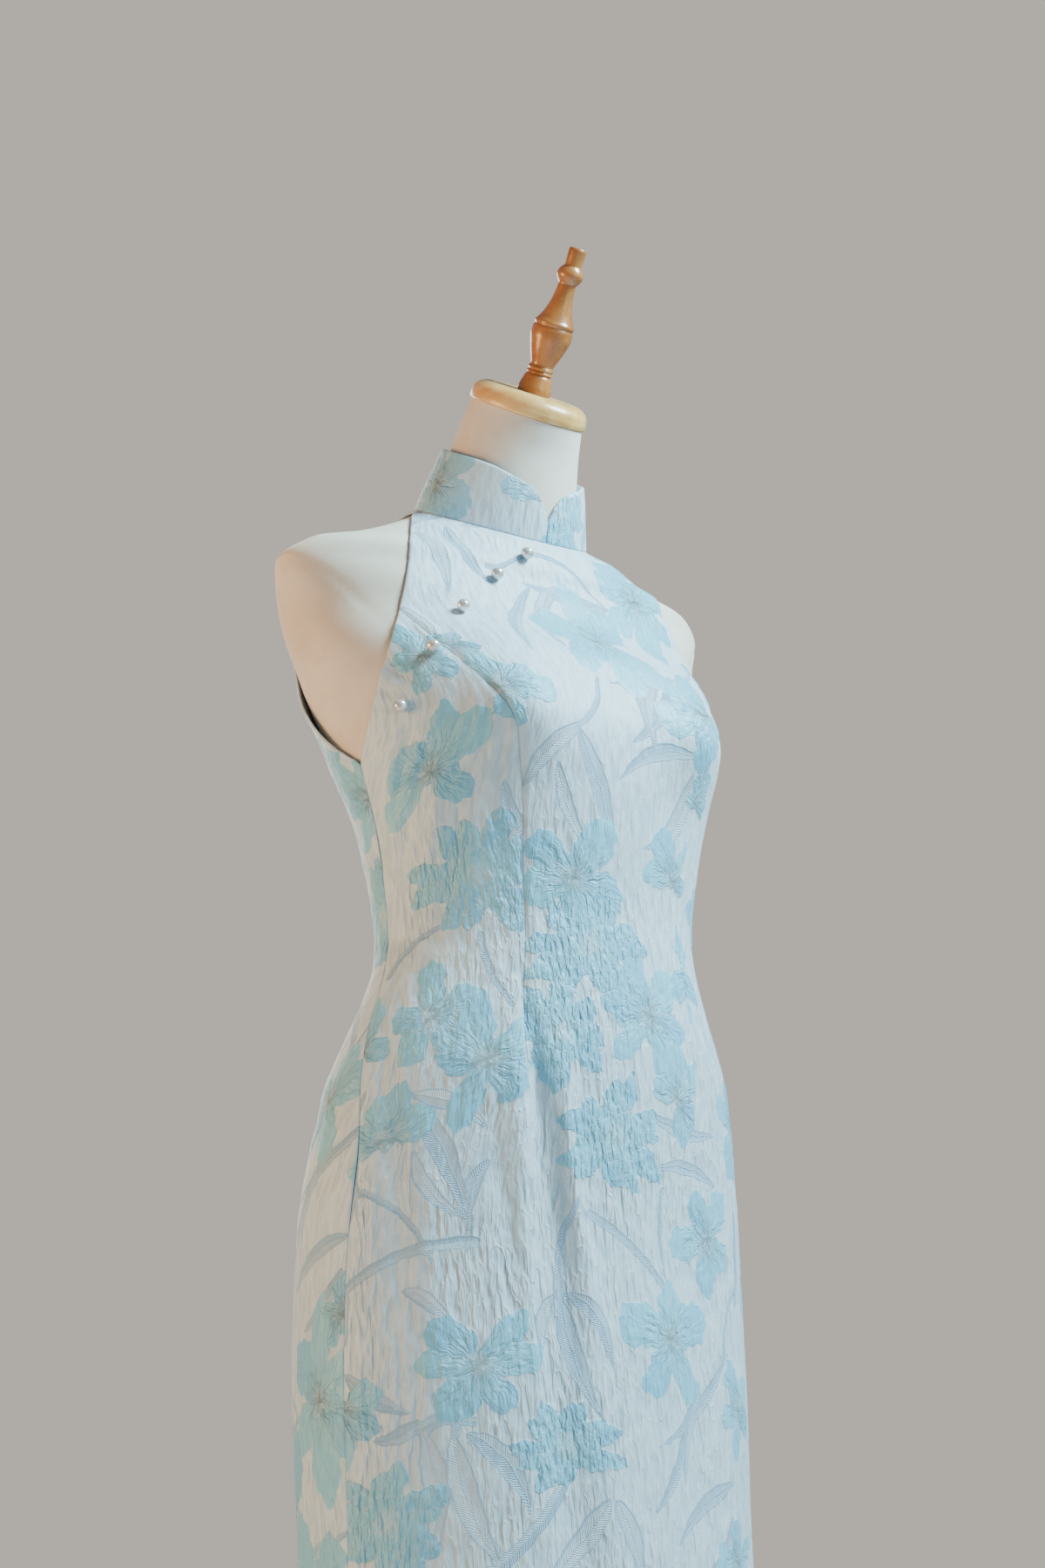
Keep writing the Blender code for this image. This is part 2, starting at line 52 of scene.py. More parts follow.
# Its sections. A place on the skin runs round the body: 0 at the centre front, 1
# at the side, 2 at the centre back, negative on the wearer's right.
SECTION_COLUMNS = ("height", "tilt", "half_width", "front", "back", "middle_y", "front_form", "back_form")
SECTIONS = (
    (0.36, 0.0, 0.176, 0.128, 0.154, -0.015, 2.0, 2.0), (0.5, 0.0, 0.172, 0.122, 0.15, -0.014, 2.0, 2.0),
    (0.62, 0.0, 0.17, 0.119, 0.148, -0.012, 2.0, 2.0), (0.746, 0.0, 0.175, 0.117, 0.148, -0.012, 2.0, 2.0),
    (0.851, 0.0, 0.176, 0.111, 0.136, -0.016, 2.0, 2.0),
    (0.944, -1.4, 0.164, 0.111, 0.112, -0.023, 2.0, 2.0),
    (1.058, -3.5, 0.1275, 0.1, 0.082, -0.033, 2.0, 2.0),
    (1.13, -0.4, 0.138, 0.109, 0.091, -0.033, 2.0, 2.0),
    (1.202, -0.3, 0.157, 0.12, 0.109, -0.026, 2.0, 2.1),
    (1.261, 1.3, 0.176, 0.109, 0.116, -0.017, 2.0, 2.2), (1.31, 4.7, 0.186, 0.089, 0.112, -0.002, 2.0, 2.2),
    (1.345, 10.5, 0.196, 0.075, 0.096, -0.003, 1.9, 2.0),
    (1.362, 13.5, 0.1755, 0.0605, 0.081, -0.015, 1.8, 1.9),
    (1.376, 20.5, 0.13, 0.058, 0.07, -0.016, 1.8, 1.9), (1.387, 23.5, 0.099, 0.052, 0.066, -0.02, 1.9, 2.0),
    (1.402, 27.5, 0.0705, 0.0545, 0.058, -0.012, 1.9, 2.1),
    (1.411, 28.5, 0.0585, 0.0505, 0.056, -0.0185, 2.0, 2.0),
    (1.428, 28.0, 0.0545, 0.049, 0.053, -0.0245, 2.0, 2.0),
    (1.46, 27.0, 0.0505, 0.0455, 0.05, -0.035, 2.0, 2.0),
    (1.4895, 34.0, 0.045, 0.0415, 0.0415, -0.05, 2.0, 2.0),
)
BUST = {"x": 0.088, "height": 1.207, "out": 0.0243, "across": 0.042, "above": 0.055, "below": 0.038}
# How far the form lies inside the dress at each height.
FORM_EASE = (
    (0.72, 0.011), (0.85, 0.009), (0.94, 0.006), (1.06, 0.004), (1.13, 0.003), (1.2, 0.0024),
    (1.31, 0.0018), (1.36, 0.0013), (1.402, 0.0012), (1.482, 0.001),
)
FORM_FOOT = 0.720
FORM_NECK = 1.4845
CAP_SEAT = 1.4895
FORM_RINGS = ((0.720, 0.0090), (1.300, 0.0040), (1.345, 0.0020), (1.402, 0.0060))
FORM_PLACES = 220
FORM_FOOT_ROUNDING = 0.006
# Oval arm plate: its middle, measured round from the centre front and in
# height, and its half sizes; the seam round it is a shallow groove.
ARM_PLATE = {"round": 0.226, "height": 1.262, "half_round": 0.070, "half_height": 0.079}
FORM_SEAM_DEPTH = 0.0010
FORM_SEAM_HALF_WIDTH = 0.0020
BACK_SEAM_SHARE = 0.6
UNDER_CAP_SHARE = 0.98
QUARTER_POINTS = 181
QUARTER_TURN = math.pi / 2.0
WAVE = 2.0 * math.pi
MILLIMETRES = 1000.0
# How far round (as a place) and up the skin's slope is measured.
ROUND_STEP = 0.008
UP_STEP = 0.0012


def rows_of(columns, table, lengths=0):
    """A table's rows by the names of their columns; the first few may be lengths in millimetres."""
    rows = [tuple(v / MILLIMETRES for v in row[:lengths]) + row[lengths:] for row in table]
    return [dict(zip(columns, row)) for row in rows]


def through(table, height):
    """Smooth values at a height from a table whose first column is height."""
    rows = np.array(table, dtype=float)
    xs, ys = rows[:, 0], rows[:, 1:]
    span = np.diff(xs)
    slope = np.diff(ys, axis=0) / span[:, None]
    before, after = slope[:-1], slope[1:]
    tangent = np.vstack([slope[:1], np.zeros_like(before), slope[-1:]])
    same_way = before * after > 0.0
    weight_a = (2.0 * span[1:] + span[:-1])[:, None]
    weight_b = (span[1:] + 2.0 * span[:-1])[:, None]
    slowing = weight_a / np.where(same_way, before, 1.0) + weight_b / np.where(same_way, after, 1.0)
    tangent[1:-1] = np.where(same_way, (weight_a + weight_b) / slowing, 0.0)
    at = np.clip(np.atleast_1d(np.asarray(height, dtype=float)), xs[0], xs[-1])
    i = np.clip(np.searchsorted(xs, at, side="right") - 1, 0, len(span) - 1)
    t = ((at - xs[i]) / span[i])[:, None]
    h = span[i][:, None]
    from_points = (2 * t**3 - 3 * t**2 + 1) * ys[i] + (3 * t**2 - 2 * t**3) * ys[i + 1]
    return from_points + ((t**3 - 2 * t**2 + t) * tangent[i] + (t**3 - t**2) * tangent[i + 1]) * h


def value_at(table, height):
    """The one value that a table of two columns gives at a height."""
    return float(through(table, height)[0][0])


def hump(away):
    """A soft rise: 1 in its middle, almost nothing from 2 away."""
    return np.exp(-(away**2))


def smooth_step(value):
    value = np.clip(value, 0.0, 1.0)
    return value * value * (3.0 - 2.0 * value)


def apart(points, others):
    return np.linalg.norm(points - others, axis=-1)


def unit(vectors):
    return vectors / np.linalg.norm(vectors, axis=-1, keepdims=True)


def quarter_line(height, behind):
    """Close points of a quarter of a section, from its middle line to the side."""
    size = dict(zip(SECTION_COLUMNS[1:], through(SECTIONS, height)[0]))
    turn = np.linspace(0.0, QUARTER_TURN, QUARTER_POINTS)
    power = 2.0 / (size["back_form"] if behind else size["front_form"])
    reach = size["back"] if behind else -size["front"]
    x = size["half_width"] * np.sin(turn) ** power
    y = size["middle_y"] + reach * np.abs(np.cos(turn)) ** power
    if not behind:
        rise = height - BUST["height"]
        full = hump(rise / (BUST["above"] if rise > 0.0 else BUST["below"]))
        y = y - BUST["out"] * full * hump((x - BUST["x"]) / BUST["across"])
    z = height + (y - size["middle_y"]) * math.tan(math.radians(size["tilt"]))
    return np.stack([x, y, z], axis=1)


def lengths_along(points):
    return np.concatenate([[0.0], np.cumsum(apart(points[1:], points[:-1]))])


def quarter_length(height, behind):
    return lengths_along(quarter_line(height, behind))[-1]


def skin_ring(height, places):
    """Points of one section at places round the body."""
    places = (np.asarray(places, dtype=float) + 2.0) % 4.0 - 2.0
    out = np.zeros((len(places), 3))
    for behind in (False, True):
        line = quarter_line(height, behind)
        length = lengths_along(line)
        share = 2.0 - np.abs(places) if behind else np.abs(places)
        chosen = (np.abs(places) > 1.0) == behind
        for k in range(3):
            out[chosen, k] = np.interp(share * length[-1], length, line[:, k])[chosen]
    out[:, 0] *= np.where(places < 0.0, -1.0, 1.0)
    return out


def skin_across(height, places):
    """Steps round the skin, from a little before each place to a little beyond it."""
    return skin_ring(height, places + ROUND_STEP) - skin_ring(height, places - ROUND_STEP)


def skin_normals(height, places):
    """Outward directions of the skin."""
    low = max(height - UP_STEP, SECTIONS[0][0])
    high = min(height + UP_STEP, SECTIONS[-1][0])
    return unit(np.cross(skin_across(height, places), skin_ring(high, places) - skin_ring(low, places)))


def heights_from(runs, last):
    """Heights from runs that each start at a height and keep a step."""
    heights = []
    ends = [run[0] for run in runs[1:]] + [last]
    for (start, step), end in zip(runs, ends):
        count = max(1, round((end - start) / step))
        heights += [start + (end - start) * k / count for k in range(count)]
    return heights + [last]


def new_piece(name, points, faces, material):
    """A piece from points and faces, riding on the body."""
    mesh = bpy.data.meshes.new(name)
    mesh.from_pydata([tuple(p) for p in np.asarray(points).tolist()], [], faces)
    mesh.update()
    mesh.materials.append(material)
    piece = bpy.data.objects.new(name, mesh)
    bpy.context.scene.collection.objects.link(piece)
    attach(piece, "root")
    return piece


def shade_smooth(piece, degrees=50.0):
    bpy.ops.object.select_all(action="DESELECT")
    piece.select_set(True)
    bpy.context.view_layer.objects.active = piece
    bpy.ops.object.shade_smooth_by_angle(angle=math.radians(degrees))
    piece.select_set(False)


def paint(red, green, blue):
    """A colour given as on a screen, 0 to 255, in the shader's own scale."""
    parts = [v / 255.0 for v in (red, green, blue)]
    return tuple(v / 12.92 if v <= 0.04045 else ((v + 0.055) / 1.055) ** 2.4 for v in parts) + (1.0,)


class Value:
    """A value in a node tree, reckoned with like a number."""

    def __init__(self, look, socket):
        self.look = look
        self.socket = socket

    def __add__(self, other):
        return self.look.reckon("ADD", self, other)

    def __sub__(self, other):
        return self.look.reckon("SUBTRACT", self, other)

    def __rsub__(self, other):
        return self.look.reckon("SUBTRACT", other, self)

    def __mul__(self, other):
        return self.look.reckon("MULTIPLY", self, other)

    def __abs__(self):
        return self.look.reckon("ABSOLUTE", self)


class Look:
    """The node tree of a material or a world; its inputs take numbers, colours or values."""

    def __init__(self, owner, **sockets):
        owner.use_nodes = True
        self.owner = owner
        self.tree = owner.node_tree
        self.shade(**sockets)

    def feed(self, socket, value):
        """Link a socket to a value, or set it."""
        if isinstance(value, Value):
            self.tree.links.new(value.socket, socket)
        elif value is not None:
            socket.default_value = value

    def shade(self, **sockets):
        """Link or set the shader's own sockets, by name."""
        for name, value in sockets.items():
            self.feed(self.tree.nodes["Principled BSDF"].inputs[name.replace("_", " ")], value)

    def node(self, kind, *values, **settings):
        """The outputs of a node whose inputs are given in their order."""
        made = self.tree.nodes.new("ShaderNode" + kind)
        for name, value in settings.items():
            setattr(made, name, value)
        for socket, value in zip(made.inputs, values):
            self.feed(socket, value)
        return [Value(self, socket) for socket in made.outputs]

    def reckon(self, operation, *values):
        return self.node("Math", *values, operation=operation)[0]

    def between(self, value, low, high, to_low=0.0, to_high=1.0):
        """A soft step of a value from low to high."""
        return self.node("MapRange", value, low, high, to_low, to_high, interpolation_type="SMOOTHSTEP")[0]

    def blended(self, share, first, second):
        """A colour between two."""
        return self.node("Mix", share, None, None, None, None, None, first, second, data_type="RGBA")[2]

    def noise(self, vector, scale, detail=2.0, rough=0.5, flat=False):
        kind = "2D" if flat else "3D"
        return self.node("TexNoise", vector, None, scale, detail, rough, noise_dimensions=kind)[0]

    def place(self, scale=(1.0, 1.0, 1.0), turn=(0.0, 0.0, 0.0)):
        """Object coordinates, turned and scaled."""
        return self.node("Mapping", self.node("TexCoord")[3], None, turn, scale)[0]

    def raised(self, height, strength=1.0, unit=0.001):
        """A normal from a height in millimetres."""
        return self.node("Bump", strength, unit, None, height)[0]


def jersey():
    """Off-white cotton jersey: fine knit courses and faint handling marks."""
    look = Look(
        bpy.data.materials.new("form_jersey"), Roughness=0.86, Sheen_Weight=0.12, Specular_IOR_Level=0.3
    )
    knit = look.noise(look.place((1500.0, 1500.0, 900.0)), 1.0, 1.0)
    cloud = look.noise(look.place(), 9.0, 3.0)
    fine = look.noise(look.place(), 70.0, 3.0)
    tone = look.blended(look.between(cloud, 0.35, 0.7), paint(228, 222, 213), paint(214, 206, 195))
    tone = look.blended(look.between(fine, 0.45, 0.75, 0.0, 0.25), tone, paint(198, 186, 172))
    look.shade(Base_Color=tone, Normal=look.raised(knit * 0.10 + fine * 0.12, 0.7))
    return look.owner


def form_lift(height, places):
    """Height of the jersey's skin above the dress's inner face, seams included."""
    reach = np.abs(places) * quarter_length(height, False)
    across = (reach - ARM_PLATE["round"]) / ARM_PLATE["half_round"]
    up = (height - ARM_PLATE["height"]) / ARM_PLATE["half_height"]
    plate = hump((np.hypot(across, up) - 1.0) * ARM_PLATE["half_round"] / FORM_SEAM_HALF_WIDTH)
    middle = hump((2.0 - np.abs(places)) * quarter_length(height, True) / FORM_SEAM_HALF_WIDTH)
    return -value_at(FORM_EASE, height) - FORM_SEAM_DEPTH * np.maximum(plate, BACK_SEAM_SHARE * middle)


def form_piece():
    places = -2.0 + 4.0 * np.arange(FORM_PLACES) / FORM_PLACES
    rings = []
    for height in heights_from(FORM_RINGS, FORM_NECK):
        lift = form_lift(height, places)
        rings.append(skin_ring(height, places) + skin_normals(height, places) * lift[:, None])
    rings[0][:, 2] = FORM_FOOT
    under_cap = skin_ring(CAP_SEAT, places)
    middle = under_cap.mean(axis=0)
    rings.append(middle + (under_cap - middle) * UNDER_CAP_SHARE)
    foot_middle = rings[0].mean(axis=0)
    rounded = []
    for angle in np.linspace(0.0, QUARTER_TURN, 5)[:-1]:
        ring = rings[0] - unit(rings[0] - foot_middle) * FORM_FOOT_ROUNDING * (1.0 - math.sin(angle))
        ring[:, 2] = FORM_FOOT + FORM_FOOT_ROUNDING * (1.0 - math.cos(angle))
        rounded.append(ring)
    rings = rounded + rings[1:]
    points = np.concatenate(rings + [foot_middle[None], rings[-1].mean(axis=0)[None]])
    count = FORM_PLACES
    last = (len(rings) - 1) * count
    faces = []
    for c in range(count):
        d = (c + 1) % count
        faces += [(r + c, r + d, r + count + d, r + count + c) for r in range(0, last, count)]
        faces += [(len(points) - 2, d, c), (len(points) - 1, last + c, last + d)]
    return new_piece("form_body", points, faces, jersey())


form_body = form_piece()
shade_smooth(form_body)
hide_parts("torso")


# =============================================================================
# The neck cap. An oval disc of oiled pine, its rim rounded, screwed on the
# form's neck and tilted with it.
CAP_MIDDLE = Vector((0.0, -0.050, 1.4895))
CAP_TILT = math.radians(34.0)
CAP_HALF_WIDTH = 0.0465
CAP_HALF_DEPTH = 0.0500
CAP_THICK = 0.0165
CAP_RIM = 0.0058
CAP_BEVEL = 0.0118
CAP_EDGE = 0.0012
CAP_EDGE_FALL = 0.0004
CAP_GAP = 0.0003
TURNING_SIDES = 72


def turned(name, profile, sides=TURNING_SIDES):
    """A piece turned on a lathe: a disc drawn up through rows of height and radius."""
    bpy.ops.object.select_all(action="DESELECT")
    height, radius = profile[0]
    bpy.ops.mesh.primitive_circle_add(
        vertices=sides, radius=radius, fill_type="NGON", location=(0.0, 0.0, height)
    )
    piece = bpy.context.object
    piece.name = name
    bpy.ops.object.transform_apply(location=True, rotation=True, scale=True)
    bpy.ops.object.mode_set(mode="EDIT")
    bpy.ops.mesh.select_all(action="SELECT")
    for next_height, next_radius in profile[1:]:
        bpy.ops.mesh.extrude_region_move(TRANSFORM_OT_translate={"value": (0.0, 0.0, next_height - height)})
        share = next_radius / radius
        bpy.ops.transform.resize(value=(share, share, 1.0), center_override=(0.0, 0.0, next_height))
        height, radius = next_height, next_radius
    bpy.ops.mesh.select_all(action="SELECT")
    bpy.ops.mesh.normals_make_consistent(inside=False)
    bpy.ops.object.mode_set(mode="OBJECT")
    piece.select_set(False)
    return piece


def stand_up(piece, place, stretch=1.0):
    """Set a turned piece on its place, tilted with the neck, with all of that in its mesh."""
    piece.data.transform(Matrix.Diagonal((1.0, stretch, 1.0, 1.0)))
    piece.data.transform(Matrix.Rotation(CAP_TILT, 4, "X"))
    piece.data.transform(Matrix.Translation(place))
    piece.data.update()


def finish_piece(piece, material, node, degrees=40.0):
    """Give a hard piece its finish and let it stand for its solid."""
    piece.data.materials.clear()
    piece.data.materials.append(material)
    shade_smooth(piece, degrees)
    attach(piece, "root")
    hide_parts(node)


def top_corner(height, radius, rounding, steps):
    """Profile rows of a rounded upper corner."""
    rows = []
    for angle in np.linspace(0.0, QUARTER_TURN, steps):
        down, inward = rounding * (1.0 - math.sin(angle)), rounding * (1.0 - math.cos(angle))
        rows.append((height - down, radius - inward))
    return rows


def wood(name, pale, deep, line, grain_turn, gloss, coat):
    """Finished wood: long soft growth bands, fine pores and a clear finish."""
    look = Look(bpy.data.materials.new(name), Roughness=gloss, Coat_Weight=coat, Coat_Roughness=0.18)
    bands = look.noise(look.place((60.0, 9.0, 60.0), grain_turn), 1.0, 3.0, 0.55)
    pores = look.noise(look.place((420.0, 26.0, 420.0), grain_turn), 1.0, 2.0, 0.6)
    tone = look.blended(look.between(bands, 0.34, 0.66), pale, deep)
    tone = look.blended(look.between(pores, 0.54, 0.80, 0.0, 0.35), tone, line)
    look.shade(Base_Color=tone, Normal=look.raised(pores, 0.35, 0.00025))
    look.shade(Roughness=look.between(pores, 0.3, 0.8, gloss - 0.05, gloss + 0.10))
    return look.owner


cap_rows = [(0.0, 0.012), (0.0, CAP_HALF_WIDTH - CAP_EDGE)]
cap_rows += [(CAP_EDGE_FALL, CAP_HALF_WIDTH - CAP_EDGE_FALL), (CAP_EDGE, CAP_HALF_WIDTH)]
cap_rows += [(CAP_RIM - CAP_EDGE, CAP_HALF_WIDTH), (CAP_RIM - 0.0003, CAP_HALF_WIDTH - 0.0002)]
for angle in np.linspace(0.06, QUARTER_TURN, 13):
    height = CAP_RIM + (CAP_THICK - CAP_RIM) * math.sin(angle)
    cap_rows.append((height, CAP_HALF_WIDTH - CAP_BEVEL * (1.0 - math.cos(angle)) - CAP_EDGE_FALL))
cap_rows += [(CAP_THICK, CAP_HALF_WIDTH * share) for share in (0.62, 0.40, 0.20)]
cap_up = Vector((0.0, -math.sin(CAP_TILT), math.cos(CAP_TILT)))
neck_cap = turned("oval_cap", cap_rows)
stand_up(neck_cap, CAP_MIDDLE + cap_up * CAP_GAP, CAP_HALF_DEPTH / CAP_HALF_WIDTH)
pine = wood(
    "oiled_pine", paint(238, 196, 130), paint(218, 164, 94), paint(178, 122, 64),
    grain_turn=(0.0, 0.0, 0.35), gloss=0.34, coat=0.35,
)
finish_piece(neck_cap, pine, "neck_cap")


# =============================================================================
# The finial. Beech turned in one piece with beads and a long neck, stained
# honey brown and varnished, pegged into the cap. Its rows are height and radius.
FINIAL = (
    (0.0, 0.0136), (0.003, 0.0134), (0.01, 0.0118), (0.0135, 0.0108), (0.015, 0.0093), (0.0165, 0.0108),
    (0.0182, 0.0093), (0.02, 0.0107), (0.022, 0.0092), (0.026, 0.0103), (0.031, 0.0122), (0.038, 0.0145),
    (0.046, 0.0164), (0.0515, 0.0161), (0.0532, 0.0152), (0.0555, 0.0161), (0.059, 0.0141), (0.065, 0.0112),
    (0.075, 0.0084), (0.084, 0.0072), (0.088, 0.007), (0.0905, 0.0088), (0.0953, 0.0106), (0.1, 0.0088),
    (0.1028, 0.0066), (0.115, 0.007), (0.1165, 0.0062),
)
FINIAL_STEP = 0.0009
FINIAL_TIP = 0.0025

finial_top = FINIAL[-1][0]
finial_rows = []
for height in np.arange(0.0, finial_top, FINIAL_STEP).tolist() + [finial_top]:
    finial_rows.append((height, value_at(FINIAL, height)))
finial = turned("turned_finial", finial_rows + [(finial_top, FINIAL_TIP)], 64)
stand_up(finial, CAP_MIDDLE + cap_up * (2.0 * CAP_GAP + CAP_THICK))
honey = wood(
    "varnished_beech", paint(186, 124, 64), paint(160, 98, 46), paint(124, 72, 32),
    grain_turn=(1.2, 0.0, 0.0), gloss=0.26, coat=0.7,
)
finish_piece(finial, honey, "finial")


# =============================================================================
# The stand. A pine foot turned from one disc, and a satin steel tube that ends
# in the plate screwed under the form.
BASE_RADIUS = 0.170
BASE_THICK = 0.024
BASE_ROUNDING = 0.0055
BOSS_RADIUS = 0.034
BOSS_HEIGHT = 0.038
BOSS_ROUNDING = 0.004
BOSS_HOLLOW = 0.010
BOSS_HOLLOW_RISE = 0.008
POLE_RADIUS = 0.016
POLE_SLEEVE = 0.0045
PLATE_RADIUS = 0.050
PLATE_THICK = 0.006


def foot_rows():
    rim = top_corner(BASE_THICK, BASE_RADIUS, BASE_ROUNDING, 6)
    rows = [(0.0, 0.040), (0.0, 0.110)]
    rows += [(BASE_THICK - height, radius) for height, radius in reversed(rim)]
    rows += rim + [(BASE_THICK, 0.150), (BASE_THICK, 0.090), (BASE_THICK, BOSS_RADIUS + BOSS_HOLLOW)]
    for angle in np.linspace(0.0, QUARTER_TURN, 6)[1:]:
        height = BASE_THICK + BOSS_HOLLOW_RISE * (1.0 - math.cos(angle))
        rows.append((height, BOSS_RADIUS + BOSS_HOLLOW * (1.0 - math.sin(angle))))
    rows += top_corner(BOSS_HEIGHT, BOSS_RADIUS, BOSS_ROUNDING, 5)[1:]
    return rows + [(BOSS_HEIGHT, BOSS_RADIUS - 0.010), (BOSS_HEIGHT, 0.006)]


def pole_rows():
    foot = BOSS_HEIGHT + CAP_GAP
    top = FORM_FOOT - CAP_GAP
    low_plate = top - PLATE_THICK
    rows = [(foot, 0.004), (foot, POLE_RADIUS - 0.0008), (foot + 0.0008, POLE_RADIUS)]
    rows += [(0.30, POLE_RADIUS), (low_plate - 0.0300, POLE_RADIUS)]
    # The sleeve under the plate, with a groove near its foot: down from the plate, out from its side.
    sleeve = (
        (0.0295, -0.0012), (0.0285, 0.0), (0.0200, 0.0), (0.0192, -0.0007),
        (0.0184, 0.0), (0.0030, 0.0), (0.0008, 0.0022),
    )
    rows += [(low_plate - down, POLE_RADIUS + POLE_SLEEVE + out) for down, out in sleeve]
    rows += [(low_plate, PLATE_RADIUS - 0.0010), (low_plate + 0.0010, PLATE_RADIUS)]
    return rows + [(top - 0.0008, PLATE_RADIUS), (top, PLATE_RADIUS - 0.0008), (top, 0.020)]


def satin_steel():
    look = Look(bpy.data.materials.new("satin_steel"), Metallic=1.0, Roughness=0.3)
    brushed = look.noise(look.place((700.0, 700.0, 8.0)), 1.0, 2.0)
    tone = look.blended(look.between(brushed, 0.3, 0.7), paint(176, 176, 178), paint(204, 204, 204))
    look.shade(Base_Color=tone, Normal=look.raised(brushed, 0.3, 0.0001))
    look.shade(Roughness=look.between(brushed, 0.3, 0.7, 0.24, 0.38))
    return look.owner


finish_piece(turned("turned_foot", foot_rows(), 128), pine, "base")
finish_piece(turned("steel_tube", pole_rows(), 64), satin_steel(), "pole")


# =============================================================================
# The dress cloth: a cloque brocade in ice white. The ground puckers in short
# upright ripples; blossoms are woven in aqua, leaves and stems in pale blue
# with a slanting hatch.

# One repeat of the pattern, laid flat. The lengths in its two tables, of the
# blossoms and the blades, are in millimetres.
REPEAT_ACROSS = 0.480
REPEAT_UP = 0.800
# A blossom's petals lie round its middle over a spread of degrees, the middle
# of the spread at its turn; a full one has a crumpled heart.
FLOWER_COLUMNS = ("across", "up", "reach", "petals", "turn", "spread", "full", "squash")
FLOWERS = (
    (15, 1290, 44, 6, 250, 360, 0, 1.45), (84, 1362, 48, 6, 55, 360, 0, 1.15),
    (-101, 1224, 36, 5, -10, 300, 0, 0.82), (-121, 1262, 16, 4, 40, 240, 0, 1.0),
    (-163, 1257, 27, 5, 30, 360, 0, 1.15), (-159, 1166, 40, 5, 100, 300, 0, 1.1),
    (-124, 1089, 44, 11, 0, 360, 1, 0.95), (-36, 1085, 43, 5, 60, 360, 0, 0.95),
    (61, 1097, 37, 4, 85, 260, 0, 1.0), (-24, 1038, 47, 10, 12, 360, 1, 0.8),
    (-50, 975, 36, 8, 200, 360, 1, 1.0), (26, 990, 42, 6, 20, 360, 0, 1.0),
    (-116, 955, 36, 5, 35, 360, 0, 1.25), (-157, 986, 31, 5, 100, 360, 0, 1.2),
    (-7, 903, 41, 11, 0, 360, 1, 0.92), (53, 934, 31, 5, 35, 280, 0, 1.0),
    (88, 838, 37, 5, 262, 360, 0, 1.0), (38, 767, 42, 5, 90, 360, 0, 0.95),
    (-113, 752, 46, 6, 92, 360, 0, 0.74), (-54, 698, 40, 11, 12, 360, 1, 0.62),
    (-176, 654, 39, 11, 5, 360, 1, 0.9), (-233, 790, 29, 5, 60, 360, 0, 1.15),
    (-208, 725, 30, 4, -60, 240, 0, 1.1), (122, 720, 30, 5, 44, 360, 0, 1.0),
    (-211, 968, 29, 4, 100, 250, 0, 1.2), (-178, 902, 30, 4, 100, 200, 0, 1.2),
    (82, 1230, 40, 5, 200, 300, 0, 1.1), (93, 1159, 25, 4, 95, 240, 0, 1.0),
    (86, 1028, 33, 5, 52, 360, 0, 1.0), (106, 618, 26, 5, 22, 360, 0, 1.0),
    (-252, 1158, 30, 5, 40, 300, 0, 1.0), (166, 1290, 41, 5, 14, 360, 0, 1.0),
    (158, 1085, 40, 9, 25, 360, 1, 0.9), (158, 925, 39, 5, 90, 360, 0, 1.0),
    (172, 815, 28, 4, -40, 240, 0, 1.0), (-215, 1345, 37, 5, 100, 360, 0, 1.0),
    (-232, 1062, 26, 4, 64, 240, 0, 1.0),
)
PETAL_HALF_WIDTH = {4: 0.33, 5: 0.32, 6: 0.28, 8: 0.25, 9: 0.23, 10: 0.21, 11: 0.20}
PETAL_MIDDLE = 0.55
PETAL_HALF_LENGTH = 0.50
HEART_REACH = 0.20
FULL_HEART_REACH = 0.58
HEART_HELD_BACK = 0.0004
PETAL_WAVER = 1.0
BLADE_WAVER = 0.4
